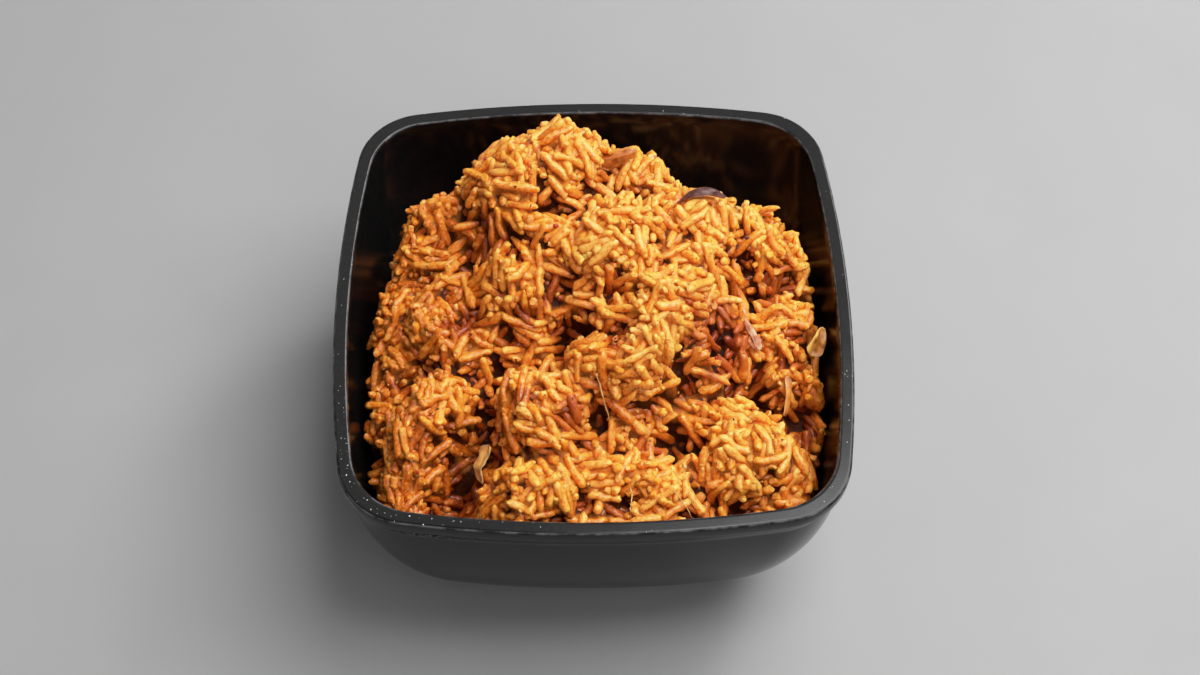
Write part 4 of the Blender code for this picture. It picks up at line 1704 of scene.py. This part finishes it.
class JOLLOF_OT_bits(bpy.types.Operator):
    """Scatters broken grains, pepper, chilli flecks, onion bits and fibres over the rice."""

    bl_idname = "jollof.bits"
    bl_label = "Scatter the bits"

    def execute(self, context):
        settings = context.scene.jollof_bits
        rng = np.random.default_rng(settings.seed)
        wall = Wall(context.scene.jollof_bowl)
        top = rice_top()
        tree = joined_tree(["grains_" + kind for kind in GRAIN_COLOURS] + ["rice_core"])

        def spread(count, deepest):
            place, out = landed(tree, *scattered(rng, top, wall, count))
            kept = top.above(place)[0] > -deepest
            return place[kept], out[kept]

        place, out = spread(settings.crumbs, 7.0 * MM)
        sizes = settings.crumb_size * rng.lognormal(0, 0.32, len(place)).clip(0.5, 1.9)
        finish = rice_material("broken_rice", *GRAIN_COLOURS["pale"])
        shape = (1.25, 0.8, 0.62)
        add_bits("rice_crumbs", "jollof_rice", place - out * 0.1 * MM, sizes, finish, rng, shape)

        place = spread(settings.specks, 8.0 * MM)[0]
        sizes = 0.5 * settings.speck_size * rng.lognormal(0, 0.35, len(place)).clip(0.45, 2.0)
        finish = plain_finish("ground_pepper", (0.012, 0.007, 0.004), (0.07, 0.03, 0.01), 0.6)
        shape, dents = (1.1, 0.9, 0.6), (0.3 * MM, 0.2 * MM)
        add_bits("pepper_specks", "jollof_rice", place, sizes, finish, rng, shape, dents)

        place = spread(settings.flecks, 6.0 * MM)[0]
        main = dropped(tree, FLECK_SPOTS)
        sizes = rng.uniform(0.45, 0.95, len(place) + len(main)) * MM
        sizes[-len(main) :] = 1.3 * MM
        finish = plain_finish("chilli_skin", (0.24, 0.012, 0.004), (0.50, 0.05, 0.008), 0.25)
        place = np.concatenate([place, main])
        add_bits("chilli_flecks", "tomato_flesh", place, sizes, finish, rng, (1.3, 0.8, 0.22))

        place = dropped(tree, PALE_SPOTS)
        sizes = rng.uniform(1.0, 1.35, len(place)) * MM
        finish = slice_material("pale_onion_dice", *SLICE_FINISHES["onion_curl"])
        add_bits("pale_bits", "pale_onion", place, sizes, finish, rng, (1.1, 0.9, 0.75), detail=3)

        place = dropped(tree, DARK_SPOTS)
        sizes = rng.uniform(0.5, 1.0, len(place)) * MM
        finish = slice_material("red_onion_dice", *SLICE_FINISHES["onion_slice"])
        add_bits("onion_bits", "red_onion", place, sizes, finish, rng, (1.5, 0.8, 0.4), detail=2)

        self.fibres(tree, rng, settings)
        return {"FINISHED"}

    def fibres(self, tree, rng, settings):
        """Fine pale threads that lie over the front of the rice."""
        paths = []
        shares = np.linspace(0, 1, len(PATH))[:, None]
        for first, last in np.array(FIBRE_SPOTS):
            line = dropped(tree, first + shares * (last - first))
            line[1:-1] = (line[:-2] + 2 * line[1:-1] + line[2:]) / 4
            line[:, 2] = np.maximum(line[:, 2], np.linspace(line[0, 2], line[-1, 2], len(PATH)))
            paths.append(line + [0.0, 0.0, FIBRE_LIFT] + rng.normal(0, FIBRE_WOBBLE, line.shape))
        path = np.array(paths)
        width = np.full(path.shape[:2], settings.fibre_width / 2) * FIBRE_TAPER
        zero = np.zeros(path.shape[:2])
        lines = line_mesh("fibre_lines", path, width, zero[:, 0], zero, zero)
        finish = plain_finish("dry_fibre", (0.62, 0.38, 0.12), (0.80, 0.55, 0.22), 0.4)
        inputs = {"Sides": 6, "Dent Depth": 0.05 * MM, "Material": finish}
        add_piece("fibres", grown("fibres", lines, grain_tree(), inputs), "pale_onion")


class JOLLOF_OT_dust(bpy.types.Operator):
    """Leaves dust on the rim and a dried splash under the lip."""

    bl_idname = "jollof.dust"
    bl_label = "Leave dust and splashes"

    def execute(self, context):
        settings = context.scene.jollof_bits
        rng = np.random.default_rng(settings.seed + 1)
        half, height = bowl_size()
        tree = joined_tree(["bowl_body"])
        angle = rng.uniform(0, 2 * math.pi, settings.dust)
        near = rng.random(settings.dust) < DUST_CORNER_SHARE
        angle[near] = rng.normal(DUST_CORNER, DUST_SPREAD, near.sum())
        inset = rng.uniform(0.05, 0.95, settings.dust) * context.scene.jollof_bowl.rim_width
        radius = outline_radius(half, RIM_CORNER, angle) - inset
        place = np.stack([radius * np.cos(angle), radius * np.sin(angle), 0 * angle + height], -1)
        place = landed(tree, place, np.tile(UP, (len(place), 1)))[0]
        sizes = 0.5 * settings.dust_size * rng.lognormal(0, 0.45, len(place)).clip(0.4, 2.6)
        finish = plain_finish("dust", (0.45, 0.44, 0.42), (0.75, 0.74, 0.72), 0.8)
        shape, dents = (1.2, 0.9, 0.5), (0.3 * MM, 0.1 * MM)
        add_bits("rim_dust", "black_melamine", place, sizes, finish, rng, shape, dents)

        angle = rng.normal(SPLASH_MIDDLE, SPLASH_SPREAD, settings.splash)
        level = height - SPLASH_TOP - np.abs(rng.normal(0, SPLASH_FALL, settings.splash))
        level -= SPLASH_SLOPE * (angle - SPLASH_START)
        out = np.stack([np.cos(angle), np.sin(angle), 0 * angle], -1)
        place = out * outline_radius(half, RIM_CORNER, angle)[:, None]
        place = landed(tree, place + np.array(UP) * level[:, None], out)[0]
        sizes = rng.lognormal(math.log(SPLASH_SIZE), 0.5, len(place)).clip(*SPLASH_LIMITS)
        finish = plain_finish("dried_sauce", (0.09, 0.085, 0.078), (0.24, 0.22, 0.20), 0.7)
        shape, dents = (1.5, 1.0, 0.35), (0.4 * MM, 0.15 * MM)
        add_bits("dried_splash", "black_melamine", place, sizes, finish, rng, shape, dents)
        return {"FINISHED"}


def area_light(name, place, size, power):
    """A soft light that shines on the bowl."""
    data = bpy.data.lights.new(name, "AREA")
    data.shape = "RECTANGLE"
    data.size, data.size_y = size
    data.energy = power
    made = link(bpy.data.objects.new(name, data))
    made.location = place
    target = Vector((0.0, 0.0, bowl_size()[1]))
    made.rotation_euler = (target - Vector(place)).to_track_quat("-Z", "Y").to_euler()


class JOLLOF_OT_stage(bpy.types.Operator):
    """Makes the pale floor, the soft lights and the camera."""

    bl_idname = "jollof.stage"
    bl_label = "Set the stage"

    def execute(self, context):
        settings = context.scene.jollof_stage
        made, tree, shader = new_material("pale_floor", Roughness=0.7)
        stops = ((0.3, (settings.floor_tone * 0.98,) * 3), (0.7, (settings.floor_tone * 1.02,) * 3))
        colour = ramp(tree, grain_noise(tree, 60 * MM, 3.0), stops)
        tree.links.new(colour, shader.inputs["Base Color"])
        reach = FLOOR_REACH
        corners = [(-reach, -reach, 0), (reach, -reach, 0), (reach, reach, 0), (-reach, reach, 0)]
        mesh = mesh_from("floor", corners, [(0, 1, 2, 3)], made)
        floor = link(bpy.data.objects.new("floor", mesh))
        side_power = settings.side_power
        area_light("key", (0.48, 0.16, 1.10), (0.85, 0.85), settings.key_power)
        area_light("right", (0.68, 0.62, 0.72), (0.30, 0.45), side_power)
        area_light("left", (-0.68, 0.62, 0.72), (0.25, 0.40), side_power / LEFT_LIGHT_PART)
        area_light("back", (0.0, 0.85, 1.15), (1.2, 0.8), settings.back_power)
        area_light("glint", (0.10, -0.12, 1.15), (0.16, 0.16), settings.glint_power)
        area_light("fill", (0.32, -0.72, 1.00), (1.0, 0.7), settings.fill_power)
        world = bpy.data.worlds.new("studio")
        context.scene.world = world
        world.use_nodes = True
        background = world.node_tree.nodes["Background"]
        background.inputs["Color"].default_value = SKY_COLOUR
        background.inputs["Strength"].default_value = settings.sky
        self.exposure(context)
        self.camera(context)
        return {"FINISHED"}

    def exposure(self, context):
        """Lets the brightest tones fade softly instead of cutting off."""
        view = context.scene.view_settings
        view.view_transform = "Standard"
        view.use_curve_mapping = True
        mapping = view.curve_mapping
        mapping.white_level = (SHOULDER[-1][0],) * 3
        points = mapping.curves[3].points
        points[0].location = (0.0, 0.0)
        points[1].location = (1.0, SHOULDER[-1][1])
        for bright, shown in SHOULDER[:-1]:
            points.new(bright / SHOULDER[-1][0], shown)
        mapping.update()

    def camera(self, context):
        """A camera in front of the bowl, looking down at it."""
        half, height = bowl_size()
        angles = (CAMERA_HEIGHT_ANGLE, CAMERA_PITCH, CAMERA_SIDEWAYS, CAMERA_ROLL, CAMERA_TURN)
        elevation, pitch, sideways, roll, turned = (math.radians(angle) for angle in angles)
        distance = CAMERA_DISTANCE * half
        place = Vector((0, -distance * math.cos(elevation), distance * math.sin(elevation)))
        right = Vector((math.cos(sideways), -math.sin(sideways), 0))
        flat = math.cos(pitch)
        forward = Vector((math.sin(sideways) * flat, math.cos(sideways) * flat, -math.sin(pitch)))
        up = right.cross(forward)
        turn = Matrix.Rotation(-turned, 3, "Z")
        place = turn @ place + Vector((0, 0, height))
        forward, right, up = turn @ forward, turn @ right, turn @ up
        c, s = math.cos(roll), math.sin(roll)
        right, up = c * right - s * up, s * right + c * up
        data = bpy.data.cameras.new("camera")
        data.sensor_width = CAMERA_SENSOR
        data.lens = CAMERA_LENS
        camera = link(bpy.data.objects.new("camera", data))
        columns = Matrix((right, up, -forward)).transposed().to_4x4()
        camera.matrix_world = Matrix.Translation(place) @ columns
        context.scene.camera = camera


STEPS = (
    JOLLOF_OT_bowl,
    JOLLOF_OT_grains,
    JOLLOF_OT_core,
    JOLLOF_OT_slices,
    JOLLOF_OT_bits,
    JOLLOF_OT_dust,
    JOLLOF_OT_stage,
)


class JOLLOF_PT_panel(bpy.types.Panel):
    """Lists the steps that make the bowl of rice."""

    bl_idname = "JOLLOF_PT_panel"
    bl_label = "Jollof rice"
    bl_space_type = "VIEW_3D"
    bl_region_type = "UI"
    bl_category = "Jollof rice"

    def draw(self, context):
        for step in STEPS:
            self.layout.operator(step.bl_idname)


SETTINGS = {
    "jollof_bowl": BowlSettings,
    "jollof_rice": RiceSettings,
    "jollof_bits": BitSettings,
    "jollof_stage": StageSettings,
}
CLASSES = (*SETTINGS.values(), *STEPS, JOLLOF_PT_panel)


def register():
    for made in CLASSES:
        bpy.utils.register_class(made)
    for name, group in SETTINGS.items():
        setattr(bpy.types.Scene, name, PointerProperty(type=group))


def unregister():
    for name in SETTINGS:
        delattr(bpy.types.Scene, name)
    for made in reversed(CLASSES):
        bpy.utils.unregister_class(made)


def main():
    register()
    bpy.ops.jollof.bowl()
    bpy.ops.jollof.grains()
    bpy.ops.jollof.core()
    bpy.ops.jollof.slices()
    bpy.ops.jollof.bits()
    bpy.ops.jollof.dust()
    bpy.ops.jollof.stage()
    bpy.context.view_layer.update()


if __name__ == "__main__":
    main()
